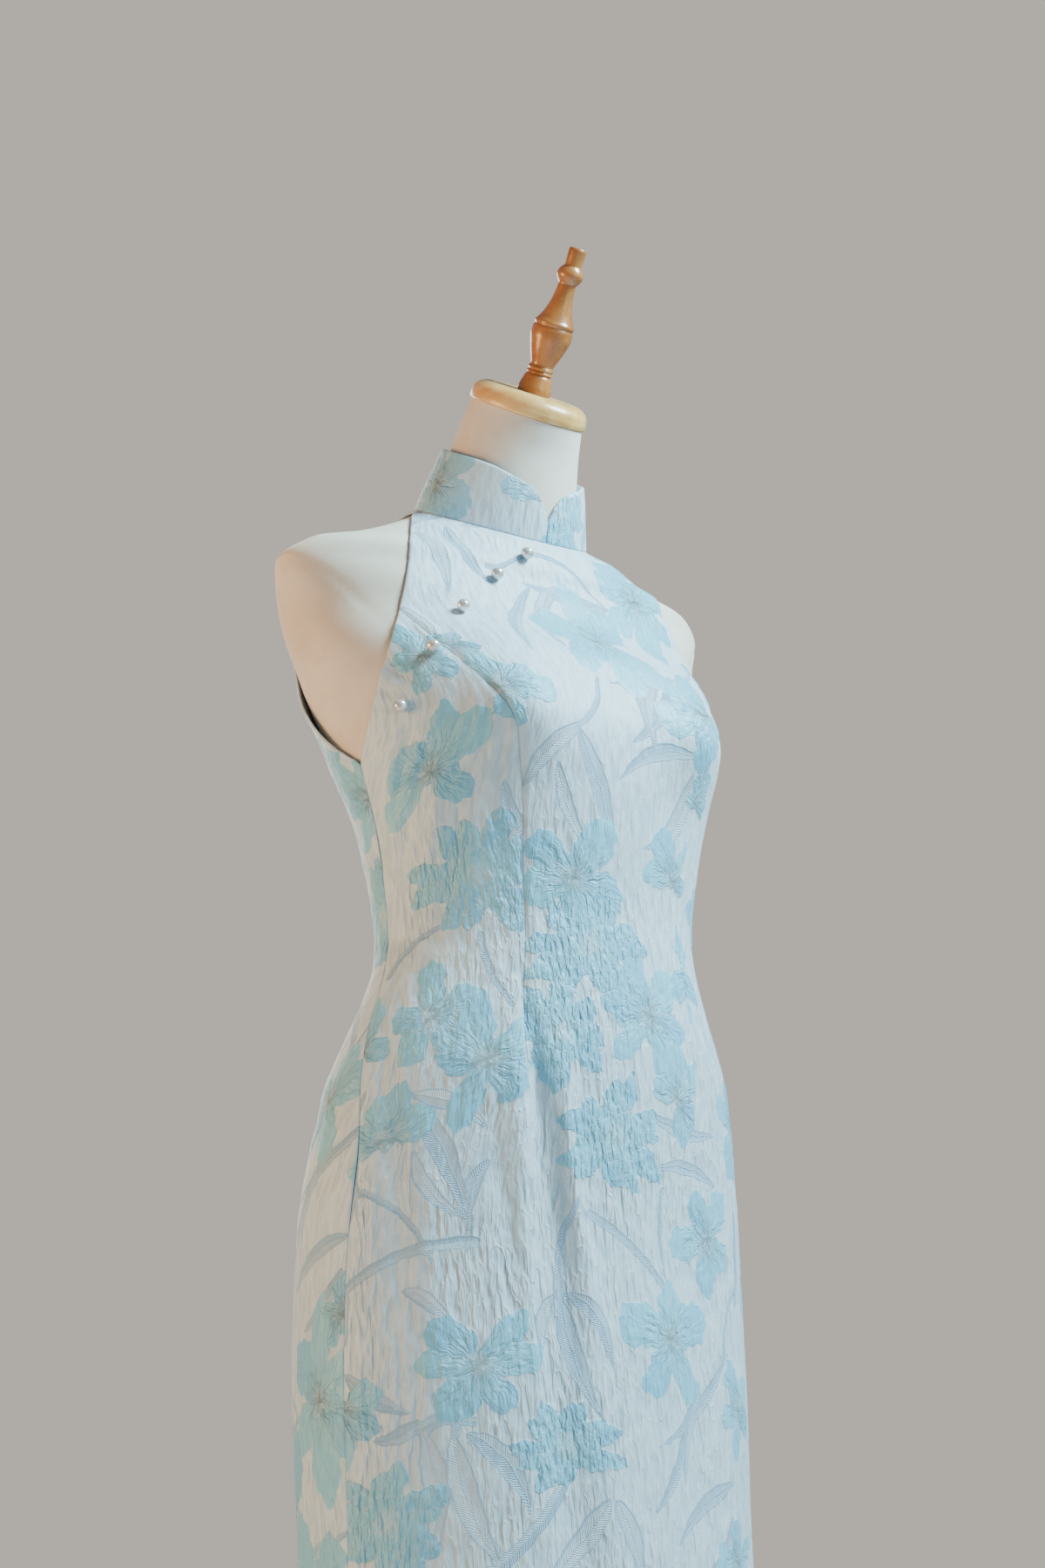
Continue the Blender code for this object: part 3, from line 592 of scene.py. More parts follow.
# Blades run from root to tip: a stem (0), a leaf of two tones (1), or a leaf
# whose rim alone is coloured (2).
BLADE_COLUMNS = ("across", "up", "to_across", "to_up", "half_width", "bend", "kind")
BLADES = (
    (66, 1268, 8, 1187, 6.2, 0.1, 1), (63, 1268, 34, 1184, 8.8, -0.2, 2), (58, 1271, -4, 1240, 4, 0.16, 1),
    (-38, 1196, -78, 1148, 8, -0.12, 2), (-41, 1195, -7, 1098, 7.5, 0.07, 1),
    (-54, 1170, -20, 1100, 5.5, -0.07, 2), (70, 1191, -2, 1160, 6.5, -0.12, 1),
    (70, 1180, 20, 1112, 9, 0.2, 2), (-104, 1156, -73, 1094, 6, -0.08, 1),
    (-112, 1134, -73, 1086, 5, 0.08, 2), (48, 1352, -34, 1354, 7, 0.18, 1),
    (6, 1352, -24, 1266, 7.2, -0.2, 2), (-26, 1348, -61, 1264, 6, -0.14, 1),
    (-112, 1398, -100, 1328, 7, 0.12, 2), (-86, 1404, -56, 1350, 6.2, -0.1, 1),
    (-143, 1316, -133, 1262, 6.2, 0.1, 2), (-166, 933, -106, 906, 6.8, 0.1, 2),
    (-163, 926, -117, 846, 8.2, 0.08, 1), (-157, 896, -116, 847, 5.8, -0.12, 2),
    (-103, 888, -115, 846, 5.5, -0.12, 1), (-48, 798, -18, 748, 6.2, 0.14, 1),
    (-56, 798, -68, 756, 5.6, -0.14, 2), (-52, 796, -29, 714, 7.4, -0.06, 1),
    (-163, 803, -128, 776, 5.6, 0.1, 2), (-206, 749, -156, 722, 6.2, -0.08, 1),
    (-151, 712, -147, 630, 9, 0.07, 2), (-131, 709, -102, 624, 9.5, -0.07, 2),
    (-124, 710, -82, 654, 8, 0.14, 1), (-152, 718, -188, 706, 5.6, 0.12, 1),
    (-25, 664, -74, 614, 8, 0.06, 2), (-22, 664, -2, 608, 7.2, 0.08, 2), (100, 754, 16, 694, 4.6, 0.07, 1),
    (63, 733, 10, 650, 5.6, 0.07, 1), (69, 733, 46, 668, 6.2, -0.1, 1), (107, 671, 32, 630, 6, -0.08, 1),
    (103, 649, 58, 608, 5.5, 0.12, 1), (-230, 927, -202, 836, 7.8, 0.14, 1),
    (24, 921, 108, 914, 6, -0.08, 1), (30, 884, 108, 872, 5.2, 0.1, 1),
    (-226, 1010, -200, 1084, 7, 0.12, 2), (-236, 1012, -262, 1090, 6.2, -0.12, 1),
    (140, 1180, 176, 1240, 7, 0.12, 2), (138, 1180, 198, 1200, 7.4, -0.12, 1),
    (150, 1018, 198, 980, 6.6, 0.14, 2), (146, 1018, 152, 966, 6.8, -0.1, 1),
    (136, 864, 128, 790, 7, 0.12, 1), (-290, 852, -256, 900, 6.8, -0.12, 1),
    (-292, 850, -300, 916, 6.2, 0.12, 2), (-284, 664, -240, 700, 7.4, 0.1, 1),
    (-284, 660, -232, 640, 6.4, -0.12, 2), (-190, 868, -142, 820, 2.8, 0.12, 0),
    (-115, 848, -118, 826, 2.4, 0.0, 0), (-112, 832, -206, 800, 4.4, -0.1, 0),
    (-205, 802, -226, 738, 4, 0.12, 0), (-30, 850, 36, 800, 3.8, 0.06, 0), (36, 870, 40, 800, 2, -0.06, 0),
    (-52, 796, -40, 860, 2.6, 0.08, 0), (-114, 618, -48, 690, 5.2, -0.07, 0),
    (-192, 866, -200, 936, 2.6, 0.1, 0), (-126, 1046, -102, 994, 3, -0.08, 0),
    (-198, 1026, -152, 1056, 3, 0.1, 0), (66, 1268, 132, 1300, 2.4, -0.1, 0),
    (-60, 1372, 48, 1352, 2.6, 0.12, 0), (70, 1188, 110, 1206, 2.4, 0.12, 0),
    (-40, 1195, -10, 1240, 2.6, -0.12, 0), (100, 754, 132, 806, 2.6, 0.12, 0),
    (-152, 713, -118, 716, 4.8, 0.12, 0), (-130, 708, -128, 740, 3, 0.0, 0),
    (-230, 1012, -204, 1006, 2.6, 0.0, 0), (140, 1180, 150, 1130, 2.8, 0.1, 0),
    (148, 1020, 168, 1054, 2.6, 0.0, 0), (-286, 850, -240, 826, 2.8, 0.1, 0),
    (-282, 662, -216, 690, 2.8, 0.12, 0),
)
# A petal's kind is its shade from 0 to 1, less 2 in a full blossom; its search
# is how far from its middle it can lie at all.
PETAL_COLUMNS = (
    "across", "up", "squash", "size", "half_width", "angle", "kind", "number", "held_back", "search",
)
# That search: so many times a motif's length, and a margin.
PETAL_SEARCH = (1.45, 0.005)
BLADE_SEARCH = (1.1, 0.015)
# Depths that stand for no motif near, and for no second one; and for the inner face.
NO_MOTIF = -0.0045
NO_SECOND = -0.0100
NOTHING_WOVEN = -9.0


def petals_of(number, flower):
    """A blossom's petals, each with its own length, lean and shade; its heart comes last."""
    count, reach = flower["petals"], flower["reach"]
    kind = -2.0 if flower["full"] else 0.0
    rows = []
    for k in range(count):
        size = reach * (1.0 + 0.14 * math.sin(1.9 * k + 2.3 * number))
        half_width = PETAL_HALF_WIDTH[count] * (1.0 + 0.18 * math.sin(3.1 * k + number)) * reach
        angle = flower["turn"] + flower["spread"] * ((k + 0.5) / count - 0.5)
        angle = math.radians(angle) + 0.14 * math.sin(2.7 * k + number)
        shade = (number * 0.37 + k * 0.381) % 1.0
        rows.append((size, half_width, angle, kind + shade, number + 1.7 * k, 0.0))
    heart = (FULL_HEART_REACH if flower["full"] else HEART_REACH) * reach
    rows.append((heart, 0.0, 0.0, kind + 0.30, number, HEART_HELD_BACK))
    start = (flower["across"], flower["up"], flower["squash"])
    times, margin = PETAL_SEARCH
    return rows_of(PETAL_COLUMNS, [start + row + (times * row[0] + margin,) for row in rows])


PETALS = []
for number, flower in enumerate(rows_of(FLOWER_COLUMNS, FLOWERS, 3)):
    PETALS += petals_of(number, flower)
LEAVES = rows_of(BLADE_COLUMNS, BLADES, 5)
for blade in LEAVES:
    blade["length"] = math.hypot(blade["to_across"] - blade["across"], blade["to_up"] - blade["up"])
    blade["search"] = BLADE_SEARCH[0] * blade["length"] + BLADE_SEARCH[1]
    blade["held_back"] = 0.0


def nearest_repeat(across, up, motif):
    """Middle of the motif's repeat nearest each point; every other column of repeats drops half."""
    column = np.floor((across - motif["across"]) / REPEAT_ACROSS + 0.5)
    drop = np.where(column % 2 == 0, 0.0, REPEAT_UP / 2.0)
    row = np.floor((up - motif["up"] - drop) / REPEAT_UP + 0.5)
    middle = [motif["across"] + column * REPEAT_ACROSS, motif["up"] + drop + row * REPEAT_UP]
    return np.stack(middle, axis=1)


def hand_drawn(across, up, share):
    """Cloth places moved a little, so that no outline of the chart is too even."""
    right = 0.0011 * np.sin(WAVE * (up / 0.023 + 0.3 * np.sin(WAVE * across / 0.041)))
    right += 0.0006 * np.sin(WAVE * (up / 0.0093 + across / 0.017))
    rise = 0.0011 * np.sin(WAVE * (across / 0.027 + 0.3 * np.sin(WAVE * up / 0.036)))
    rise += 0.0006 * np.sin(WAVE * (across / 0.0101 - up / 0.019))
    return np.stack([across + share * right, up + share * rise], axis=1)


def petal_shape(petal, right, rise):
    """Depth inside one petal, egg shaped with a slight point, or inside a round heart; and the
    place that was given, from its blossom's middle."""
    high = rise / petal["squash"]
    if petal["half_width"] == 0.0:
        return petal["size"] - np.hypot(right, high), right, rise
    run = right * math.cos(petal["angle"]) + high * math.sin(petal["angle"])
    side = high * math.cos(petal["angle"]) - right * math.sin(petal["angle"])
    x = (run / petal["size"] - PETAL_MIDDLE) / PETAL_HALF_LENGTH
    y = side / petal["half_width"] / (1.0 + 0.34 * np.clip(x, -1.3, 1.0))
    way = np.arctan2(y, x)
    point = (0.05 + 0.10 * math.sin(1.3 * petal["number"]) ** 2) * hump(way / 0.32)
    waves = 0.05 * np.sin(5.0 * way + petal["number"]) + 0.03 * np.sin(11.0 * way + 2.0 * petal["number"])
    return (1.0 + point + waves - np.hypot(x, y)) * petal["half_width"], right, rise


def blade_shape(blade, right, rise):
    """Depth inside a blade, and place along and across it, from its root."""
    run_across = blade["to_across"] - blade["across"]
    run_up = blade["to_up"] - blade["up"]
    length = blade["length"]
    run = (right * run_across + rise * run_up) / length
    share = np.clip(run / length, 0.0, 1.0)
    side = (rise * run_across - right * run_up) / length
    side = side - 4.0 * blade["bend"] * length * share * (1.0 - share)
    if blade["kind"]:
        half = blade["half_width"] * np.sin(math.pi * share**0.75) ** 0.85
    else:
        half = blade["half_width"] * (1.0 - 0.3 * share)
    return half - np.hypot(side, run - share * length), run, side


MOTIFS = {"petal": (PETALS, PETAL_WAVER, petal_shape), "blade": (LEAVES, BLADE_WAVER, blade_shape)}


def motif_fields(kind, across, up):
    """For each point: depth inside the nearest motif of a kind, the two nearest ones' numbers,
    and the middles of their repeats."""
    motifs, waver, shape_of = MOTIFS[kind]
    drawn = hand_drawn(across, up, waver)
    best = np.full(len(across), NO_MOTIF)
    second = np.full(len(across), NO_SECOND)
    numbers = np.zeros((2, len(across)), dtype=int)
    home = np.zeros((2, len(across), 2))
    for number, motif in enumerate(motifs):
        middle = nearest_repeat(drawn[:, 0], drawn[:, 1], motif)
        right, rise = (drawn - middle).T
        near = np.flatnonzero(np.hypot(right, rise) < motif["search"])
        depth = shape_of(motif, right[near], rise[near])[0] - motif["held_back"]
        ahead = depth > best[near]
        behind = ~ahead & (depth > second[near])
        won, next_best = near[ahead], near[behind]
        second[won], numbers[1, won], home[1, won] = best[won], numbers[0, won], home[0, won]
        best[won], numbers[0, won], home[0, won] = depth[ahead], number, middle[won]
        second[next_best], numbers[1, next_best] = depth[behind], number
        home[1, next_best] = middle[next_best]
    return best, numbers, home


def brocade():
    """The cloth's material, read from what is woven at each point of a piece."""
    look = Look(
        bpy.data.materials.new("ice_white_brocade"),
        Roughness=0.50, Sheen_Weight=0.22, Sheen_Roughness=0.4, Specular_IOR_Level=0.45,
    )
    between, blended, reckon = look.between, look.blended, look.reckon

    def split(vector):
        return look.node("SeparateXYZ", vector)

    def joined(*parts):
        return look.node("CombineXYZ", *parts)[0]

    def read(name, output=2):
        return look.node("Attribute", attribute_name=name)[output]

    def cloth_noise(width, height, shift=0.0, detail=1.0, rough=0.45):
        """A pattern that wanders over cells of a width and height in metres."""
        cells = joined(reckon("MULTIPLY_ADD", across, 1.0 / width, shift), up * (1.0 / height))
        return look.noise(cells, 1.0, detail, rough, flat=True)

    def ridge(wander, width):
        """A thin raised line where a wandering value crosses its middle."""
        return between(abs(wander - 0.5), 0.0, width, 1.0, 0.0)

    across, up, _ = split(look.node("UVMap", uv_map="cloth")[0])

    # Upright ripples: soft swells with a thin crest, stronger down the skirt.
    wander = cloth_noise(0.0056, 0.0230)
    finer = cloth_noise(0.0036, 0.0130, 7.3)
    crest = ridge(wander, 0.060)
    patch = cloth_noise(0.045, 0.070, 3.1, 1.0, 0.5)
    strength = between(up, 0.95, 1.22, 1.0, 0.32) * between(patch, 0.30, 0.65, 0.55, 1.0)
    strength = strength * between(read("pressed"), 0.0, 1.0, 1.0, 0.30)
    ripple = ((wander - 0.5) * 1.9 + (finer - 0.5) * 1.0 + crest * 0.26) * strength
    weave = cloth_noise(0.0006, 0.0015, 0.0, 0.0, 0.5)

    # Blossoms: petals apart by a pale line, crumpled rays round the heart.
    petal = read("petal")
    right, rise, shade = split(read("petal_place", 1))
    in_petal = between(petal, -0.25, 0.25)
    full = reckon("LESS_THAN", shade, -0.5)
    tone_seed = reckon("MULTIPLY_ADD", full, 2.0, shade)
    direction = joined(right, rise)
    distance = look.node("VectorMath", direction, operation="LENGTH")[1]
    way = look.node("VectorMath", direction, operation="NORMALIZE")[0]
    drift = joined(shade * 3.0, 0.0, distance * 0.055)
    ray_place = look.node("VectorMath", way, (6.5, 6.5, 0.0), drift, operation="MULTIPLY_ADD")[0]
    rays = look.noise(ray_place, 1.0, 2.0, 0.6)
    ray_line = ridge(rays, 0.060)
    near_heart = between(distance, 5.0, 40.0, 1.0, 0.18)
    curl = cloth_noise(0.0038, 0.0110, 1.7, 1.5, 0.50)
    curl_line = ridge(curl, 0.070)
    join = between(abs(read("petal_lead")), 0.10, 0.75, 1.0, 0.0)

    # Leaves and stems: a slanting hatch, a midrib and a closer rim.
    blade = read("blade")
    along_blade, across_blade, kind = split(read("blade_place", 1))
    in_blade = between(blade, -0.2, 0.2) * (1.0 - in_petal)
    slant = reckon("MULTIPLY_ADD", abs(across_blade), 0.9, along_blade)
    hatch = reckon("SINE", slant * (WAVE / 1.8))
    rim = between(blade, 0.6, 1.9, 1.0, 0.0)
    is_leaf = reckon("GREATER_THAN", kind, 0.5)
    is_open = reckon("GREATER_THAN", kind, 1.5)
    midrib = between(abs(across_blade), 0.15, 0.7, 1.0, 0.0) * is_leaf

    # Colours. The yoke's blossoms are painted a little deeper, a painted shade against the strong light
    # from above there; the collar's are a little paler.
    height_up = split(look.place())[2]
    # Painted highlight and painted shade: the ground is painted paler on the ripples' swells and crest
    # lines and darker in the hollows between them.
    ground_and_painted_shade = blended(between(wander + finer, 0.80, 1.18), paint(188, 216, 234), paint(204, 229, 245))
    ground_and_painted_shade = blended(crest * 0.30, ground_and_painted_shade, paint(224, 242, 250))
    streak = cloth_noise(0.0024, 0.0280, 5.0, 2.0, 0.6)
    # Painted shade: blossoms on the yoke, where the light from above falls strongest, are painted darker.
    yoke_painted_shade = between(height_up, 1.22, 1.30) * between(height_up, 1.365, 1.395, 1.0, 0.0)
    bright = reckon("MAXIMUM", ray_line * near_heart * (1.0 - full), curl_line * (full * 0.60 + 0.12))
    blue = between(tone_seed, 0.20, 0.95, 0.30, 0.85)
    petal_tone = blended(blue, paint(142, 217, 240), paint(120, 194, 231))
    for share, over in (
        (between(streak, 0.40, 0.68, 0.0, 0.36), paint(114, 186, 222)),
        (yoke_painted_shade * 0.45, paint(104, 184, 208)),
        (between(height_up, 1.385, 1.415, 0.0, 0.40), paint(178, 214, 238)),
        (bright * 0.45, paint(190, 229, 244)),
        (between(distance, 2.0, 13.0, 0.55, 0.0) * rays, paint(232, 236, 240)),
        (join * 0.36, paint(196, 228, 242)),
    ):
        petal_tone = blended(share, petal_tone, over)
    leaf = blended(between(across_blade, -0.4, 0.4), paint(152, 197, 230), paint(174, 210, 236))
    leaf = blended(is_open * between(blade, 1.1, 2.0), leaf, paint(194, 220, 240))
    leaf = blended(between(hatch, -0.3, 0.8, 0.0, 0.40), leaf, paint(204, 228, 243))
    leaf = blended(reckon("MAXIMUM", rim * 0.7, midrib) * 0.40, leaf, paint(136, 186, 222))
    tone = blended(in_petal, blended(in_blade, ground_and_painted_shade, leaf), petal_tone)
    seam_line = between(abs(read("seam")), 0.15, 0.9, 1.0, 0.0) * read("seam_share")
    look.shade(Base_Color=blended(seam_line * 0.32, tone, paint(140, 172, 196)))

    # Relief, in millimetres.
    crumple = ((rays - 0.5) * 3.0 + ray_line * 0.18) * near_heart
    curls = (curl - 0.5) * 2.9 + curl_line * 0.24
    petal_relief = crumple * (1.0 - full) + curls * (full * 0.75) + ripple * 0.70 + join * -0.16
    leaf_relief = hatch * 0.11 + reckon("MAXIMUM", rim, midrib) * 0.22 + ripple * 0.40
    height = ripple + in_blade * (leaf_relief - ripple)
    height = height + in_petal * (petal_relief - height)
    height = height + between(petal, -0.6, 0.4) * 0.12 + weave * 0.05 + seam_line * -0.25
    look.shade(Normal=look.raised(height, 1.0, 0.0016), Roughness=between(in_petal, 0.0, 1.0, 0.50, 0.42))
    return look.owner


cloth_material = brocade()


# =============================================================================
# The front. One panel from neckline to hem, cut away to the armholes, shaped by
# two long curved darts from the armhole over the bust to the hip, and faced so
# that its edges turn in clean. Drag lines and the skirt's soft folds lie in it.
CLOTH_WALL = 0.0014
SEAM_GAP = 0.0003
HEM_HEIGHT = 0.360
NECKLINE_HEIGHT = 1.402
SLIT_TOP = 0.540
SLIT_OPENING = 0.010
UNDERARM = 1.180
FRONT_EDGE = (
    (0.36, 0.95), (0.5, 0.93), (0.68, 0.9), (0.81, 0.885), (0.89, 0.865), (0.95, 0.9), (1.0, 0.96),
    (1.06, 1.0), (1.12, 0.985), (1.18, 0.975), (1.19, 0.944), (1.205, 0.892), (1.22, 0.844), (1.235, 0.799),
    (1.25, 0.752), (1.265, 0.711), (1.28, 0.673), (1.295, 0.636), (1.3125, 0.604), (1.3325, 0.573),
    (1.34, 0.563), (1.3475, 0.559), (1.3535, 0.578), (1.358, 0.6), (1.362, 0.621), (1.3655, 0.644),
    (1.369, 0.676), (1.3725, 0.716), (1.376, 0.757), (1.379, 0.797), (1.3825, 0.851), (1.385, 0.895),
    (1.3875, 0.94), (1.39, 0.987), (1.3925, 1.038), (1.397, 1.15), (1.402, 1.2),
)
# The soft folds that the skirt's solids also have.
FOLD_COLUMNS = ("top", "top_height", "low", "low_height", "half_width", "depth")
SKIRT_FOLDS = (
    (-0.335, 0.93, -0.19, 0.6, 0.016, -0.0042), (0.335, 0.93, 0.23, 0.56, 0.018, -0.003),
    (-0.25, 0.9, -0.08, 0.58, 0.02, 0.002), (-1.56, 0.9, -1.62, 0.56, 0.018, -0.0032),
    (1.56, 0.9, 1.6, 0.6, 0.017, -0.0036),
)
FOLD_GROWTH = 0.10
FOLD_EASING = 0.20
# The dart's line on the wearer's right; the left one mirrors it. How much cloth
# it takes up, by height.
DART = (
    (0.9, 0.315), (0.95, 0.35), (1.025, 0.395), (1.09, 0.4), (1.15, 0.388), (1.1875, 0.4), (1.205, 0.425),
    (1.225, 0.475), (1.2525, 0.54), (1.265, 0.572), (1.28, 0.601), (1.2925, 0.628), (1.3, 0.64),
)
DART_INTAKE = (
    (0.88, 0.0), (0.96, 0.012), (1.055, 0.024), (1.15, 0.012), (1.215, 0.016), (1.3, 0.01), (1.32, 0.0),
)
DART_LOW = 0.905
DART_TOP = 1.2985
DART_FADE = 0.05
DART_GROOVE = 0.0010
DART_GROOVE_WIDTH = 0.0016
DART_ROLL = 0.0005
DART_ROLL_WIDTH = 0.005
# Drag lines and creases, in millimetres: from and to, measured round from the
# centre front and in height, then half width, depth (minus sinks), and bend to
# one side.
CREASE_COLUMNS = ("round", "height", "to_round", "to_height", "half_width", "depth", "bend")
FRONT_CREASES = (
    (-131, 1243, -143, 1172, 3.4, -1, 4), (-128, 1243, -127, 1150, 3, -0.9, 3),
    (-124, 1244, -112, 1158, 3.6, -1.1, 4), (-119, 1243, -96, 1146, 3.6, -1.2, 6),
    (-113, 1241, -83, 1172, 3, -0.8, 6), (-121, 1236, -104, 1168, 3.2, 0.8, 4),
    (-134, 1232, -152, 1184, 4, -1.1, 4), (-174, 1264, -160, 1226, 3.6, -1.6, -4),
    (-186, 1250, -168, 1228, 3, -1.2, 3), (-196, 1236, -170, 1219, 3.2, -1.4, -3),
    (-200, 1218, -172, 1206, 3.6, -1.2, 2), (-174, 1203, -176, 1122, 6, -2.2, 5),
    (-164, 1196, -166, 1134, 4.8, 1.6, 4), (-150, 1187, -163, 1094, 6.6, -2.4, -5),
    (-138, 1160, -150, 1076, 5, 1.4, 4), (-124, 1152, -130, 1066, 5.8, -1.5, 4),
    (-104, 1150, -88, 1080, 4.6, -0.9, 4), (-200, 1180, -186, 1100, 6, -2, 6),
    (-149, 1293, -140, 1243, 4.6, -1.1, 3), (-137, 1306, -117, 1262, 4.6, -0.9, 4),
    (-77, 1015, -68, 880, 5, -3.6, 3), (-70, 960, -46, 740, 8, -4, 4), (-90, 985, -74, 720, 8.5, 3.6, 4),
    (-53, 980, -24, 760, 8.5, 4.2, -4), (-106, 925, -86, 780, 8, -1.6, 4),
    (-182, 990, -163, 770, 11, -2.2, 8), (-160, 930, -140, 690, 12, 1.6, 6),
    (-210, 944, -205, 845, 9, -1.8, 6), (-192, 1052, -120, 1038, 5, -0.9, 4),
    (-188, 1030, -130, 1022, 4.4, -0.7, -3), (60, 960, 52, 840, 8, -1.2, 4),
    (118, 1245, 134, 1176, 4, -1, -4), (112, 1246, 108, 1162, 3.6, -0.9, -4),
    (128, 1252, 152, 1204, 4, -1, 4), (148, 1190, 158, 1104, 6, -2, 5),
    (172, 1196, 170, 1118, 5.6, -1.6, 4), (128, 1146, 124, 1074, 5, -1.2, 4),
    (122, 1048, 190, 1056, 4.6, -0.9, 4), (178, 980, 165, 800, 11, -2, -6),
    (205, 930, 200, 850, 9, -1.4, 5), (30, 900, 44, 640, 14, -1.4, 8),
)
PETAL_PUFF = 0.00045
PUFF_RISE = 0.0045
PUCKER = 0.00024
COLUMN_STEP = 0.0025
WIDTH_EVERY = 20
WAIST_HEIGHT = 1.0
CLOTH_RUNS = ((0.360, 0.0029), (1.150, 0.0024), (1.300, 0.0020), (1.345, 0.0014))
INNER_EVERY = 4
EDGE_STEPS = (0.0, 0.0006, 0.0013, 0.0022)
EDGE_ROUNDING = 0.0015
EDGE_ROWS = 6
SEAM_FALL = 0.25
NECKLINE_FALL = 0.12
PRESSED_REACH = 0.009


def seam_share(height, behind):
    """Half a seam's gap, or a slit's, as a share of its quarter."""
    opening = SEAM_GAP
    if height < SLIT_TOP:
        opening += SLIT_OPENING * (SLIT_TOP - height) / (SLIT_TOP - HEM_HEIGHT)
    return 0.5 * opening / quarter_length(height, behind)


def fold_depth(height, places):
    """How far the skirt's folds move the cloth."""
    total = np.zeros(len(places))
    for fold in rows_of(FOLD_COLUMNS, SKIRT_FOLDS):
        drop = fold["top_height"] - height
        share = np.clip(drop / (fold["top_height"] - fold["low_height"]), 0.0, 1.0)
        middle = fold["top"] + (fold["low"] - fold["top"]) * share
        away = (places - middle) * quarter_length(height, abs(middle) > 1.0) / fold["half_width"]
        eased = 1.0 - 0.45 * smooth_step((fold["low_height"] - height) / FOLD_EASING)
        total += fold["depth"] * smooth_step(drop / FOLD_GROWTH) * eased * hump(away)
    return total


def crease_depth(creases, reach, height):
    """How far a list of creases moves the cloth; each fades at both ends."""
    total = np.zeros(reach.shape)
    for crease in rows_of(CREASE_COLUMNS, creases, len(CREASE_COLUMNS)):
        run_round = crease["to_round"] - crease["round"]
        run_up = crease["to_height"] - crease["height"]
        length = math.hypot(run_round, run_up)
        beside, above = reach - crease["round"], height - crease["height"]
        share = np.clip((beside * run_round + above * run_up) / length**2, 0.0, 1.0)
        side = (above * run_round - beside * run_up) / length - crease["bend"] * np.sin(math.pi * share)
        total += crease["depth"] * np.sin(math.pi * share) ** 0.7 * hump(side / crease["half_width"])
    return total


def pucker_height(across, up):
    """The cloque's larger swells between the fine ripples."""
    drift = 0.33 * np.sin(WAVE * up / 0.047) + 0.21 * np.sin(WAVE * (up / 0.0217 + across / 0.037))
    main = np.sin(WAVE * (across / 0.0108 + drift))
    other = np.sin(WAVE * (across / 0.0173 - 0.6 * drift + up / 0.061))
    share = 0.5 + 0.5 * np.sin(WAVE * (up / 0.0331 + 0.4 * np.sin(WAVE * across / 0.029)))
    return main * share + 0.6 * other * (1.0 - share)


def edge_spread(width):
    """Shares across a panel: even columns with closer ones at both edges."""
    inner_count = INNER_EVERY * round((width - 2.0 * EDGE_STEPS[-1]) / COLUMN_STEP / INNER_EVERY)
    inner_count += (-(inner_count + 2 * (len(EDGE_STEPS) - 1))) % INNER_EVERY
    near = [step / width for step in EDGE_STEPS[:-1]]
    middle = np.linspace(EDGE_STEPS[-1] / width, 1.0 - EDGE_STEPS[-1] / width, inner_count + 1)
    return np.array(near + middle.tolist() + [1.0 - step for step in reversed(near)])


def panel_rows():
    """Heights of a panel's rows, with closer ones at the hem and the neckline."""
    heights = heights_from(CLOTH_RUNS, NECKLINE_HEIGHT)[1:-1]
    heights = [h for h in heights if HEM_HEIGHT + EDGE_STEPS[-1] < h < NECKLINE_HEIGHT - EDGE_STEPS[-1]]
    heights = [HEM_HEIGHT + step for step in EDGE_STEPS] + heights
    heights += [NECKLINE_HEIGHT - step for step in reversed(EDGE_STEPS)]
    while (len(heights) - 1) % INNER_EVERY:
        widest = int(np.argmax(np.diff(heights)))
        heights.insert(widest + 1, 0.5 * (heights[widest] + heights[widest + 1]))
    return heights


def lay_panel(edges, from_front, lines=()):
    """A panel laid on the skin. Its grids: place round, height, distance round, cloth length
    up, points, outward directions, and where a column is moved onto a line."""
    heights = panel_rows()
    widest = max(np.ptp(edges(h)) * quarter_length(h, not from_front) for h in heights[::WIDTH_EVERY])
    shares = edge_spread(widest)
    laid = {"places": [], "reach": [], "points": [], "outward": []}
    on_line = np.zeros((len(heights), len(shares)), dtype=bool)
    for number, height in enumerate(heights):
        low, high = edges(height)
        row = low + (high - low) * shares
        for line in lines:
            place = line(height)
            column = int(np.argmin(np.abs(row - place))) if place is not None else 0
            if len(EDGE_STEPS) < column < len(shares) - len(EDGE_STEPS) - 1:
                row[column] = place
                on_line[number, column] = True
        front_length, back_length = (quarter_length(height, behind) for behind in (False, True))
        beyond = np.clip(np.abs(row) - 1.0, 0.0, None)
        from_middle = np.minimum(np.abs(row), 1.0) * front_length + beyond * back_length
        if not from_front:
            from_middle = from_middle - front_length - back_length
        laid["places"].append(row)
        laid["reach"].append(np.sign(row + 1e-12) * from_middle)
        laid["points"].append(skin_ring(height, row))
        laid["outward"].append(skin_normals(height, row))
    laid = {label: np.array(grid) for label, grid in laid.items()}
    climb = np.cumsum(apart(laid["points"][1:], laid["points"][:-1]), axis=0)
    climb = np.concatenate([np.zeros((1, len(shares))), climb])
    waist_row = int(np.argmin(np.abs(np.array(heights) - WAIST_HEIGHT)))
    laid["up"] = climb - climb[waist_row][None] + WAIST_HEIGHT
    laid["heights"] = np.repeat(np.array(heights)[:, None], len(shares), axis=1)
    laid["on_line"] = on_line
    return laid


def border_of(rows, columns):
    """Grid places round a sheet's edge, in order."""
    line = [(0, c) for c in range(columns)] + [(r, columns - 1) for r in range(1, rows)]
    line += [(rows - 1, c) for c in range(columns - 2, -1, -1)]
    return line + [(r, 0) for r in range(rows - 2, 0, -1)]


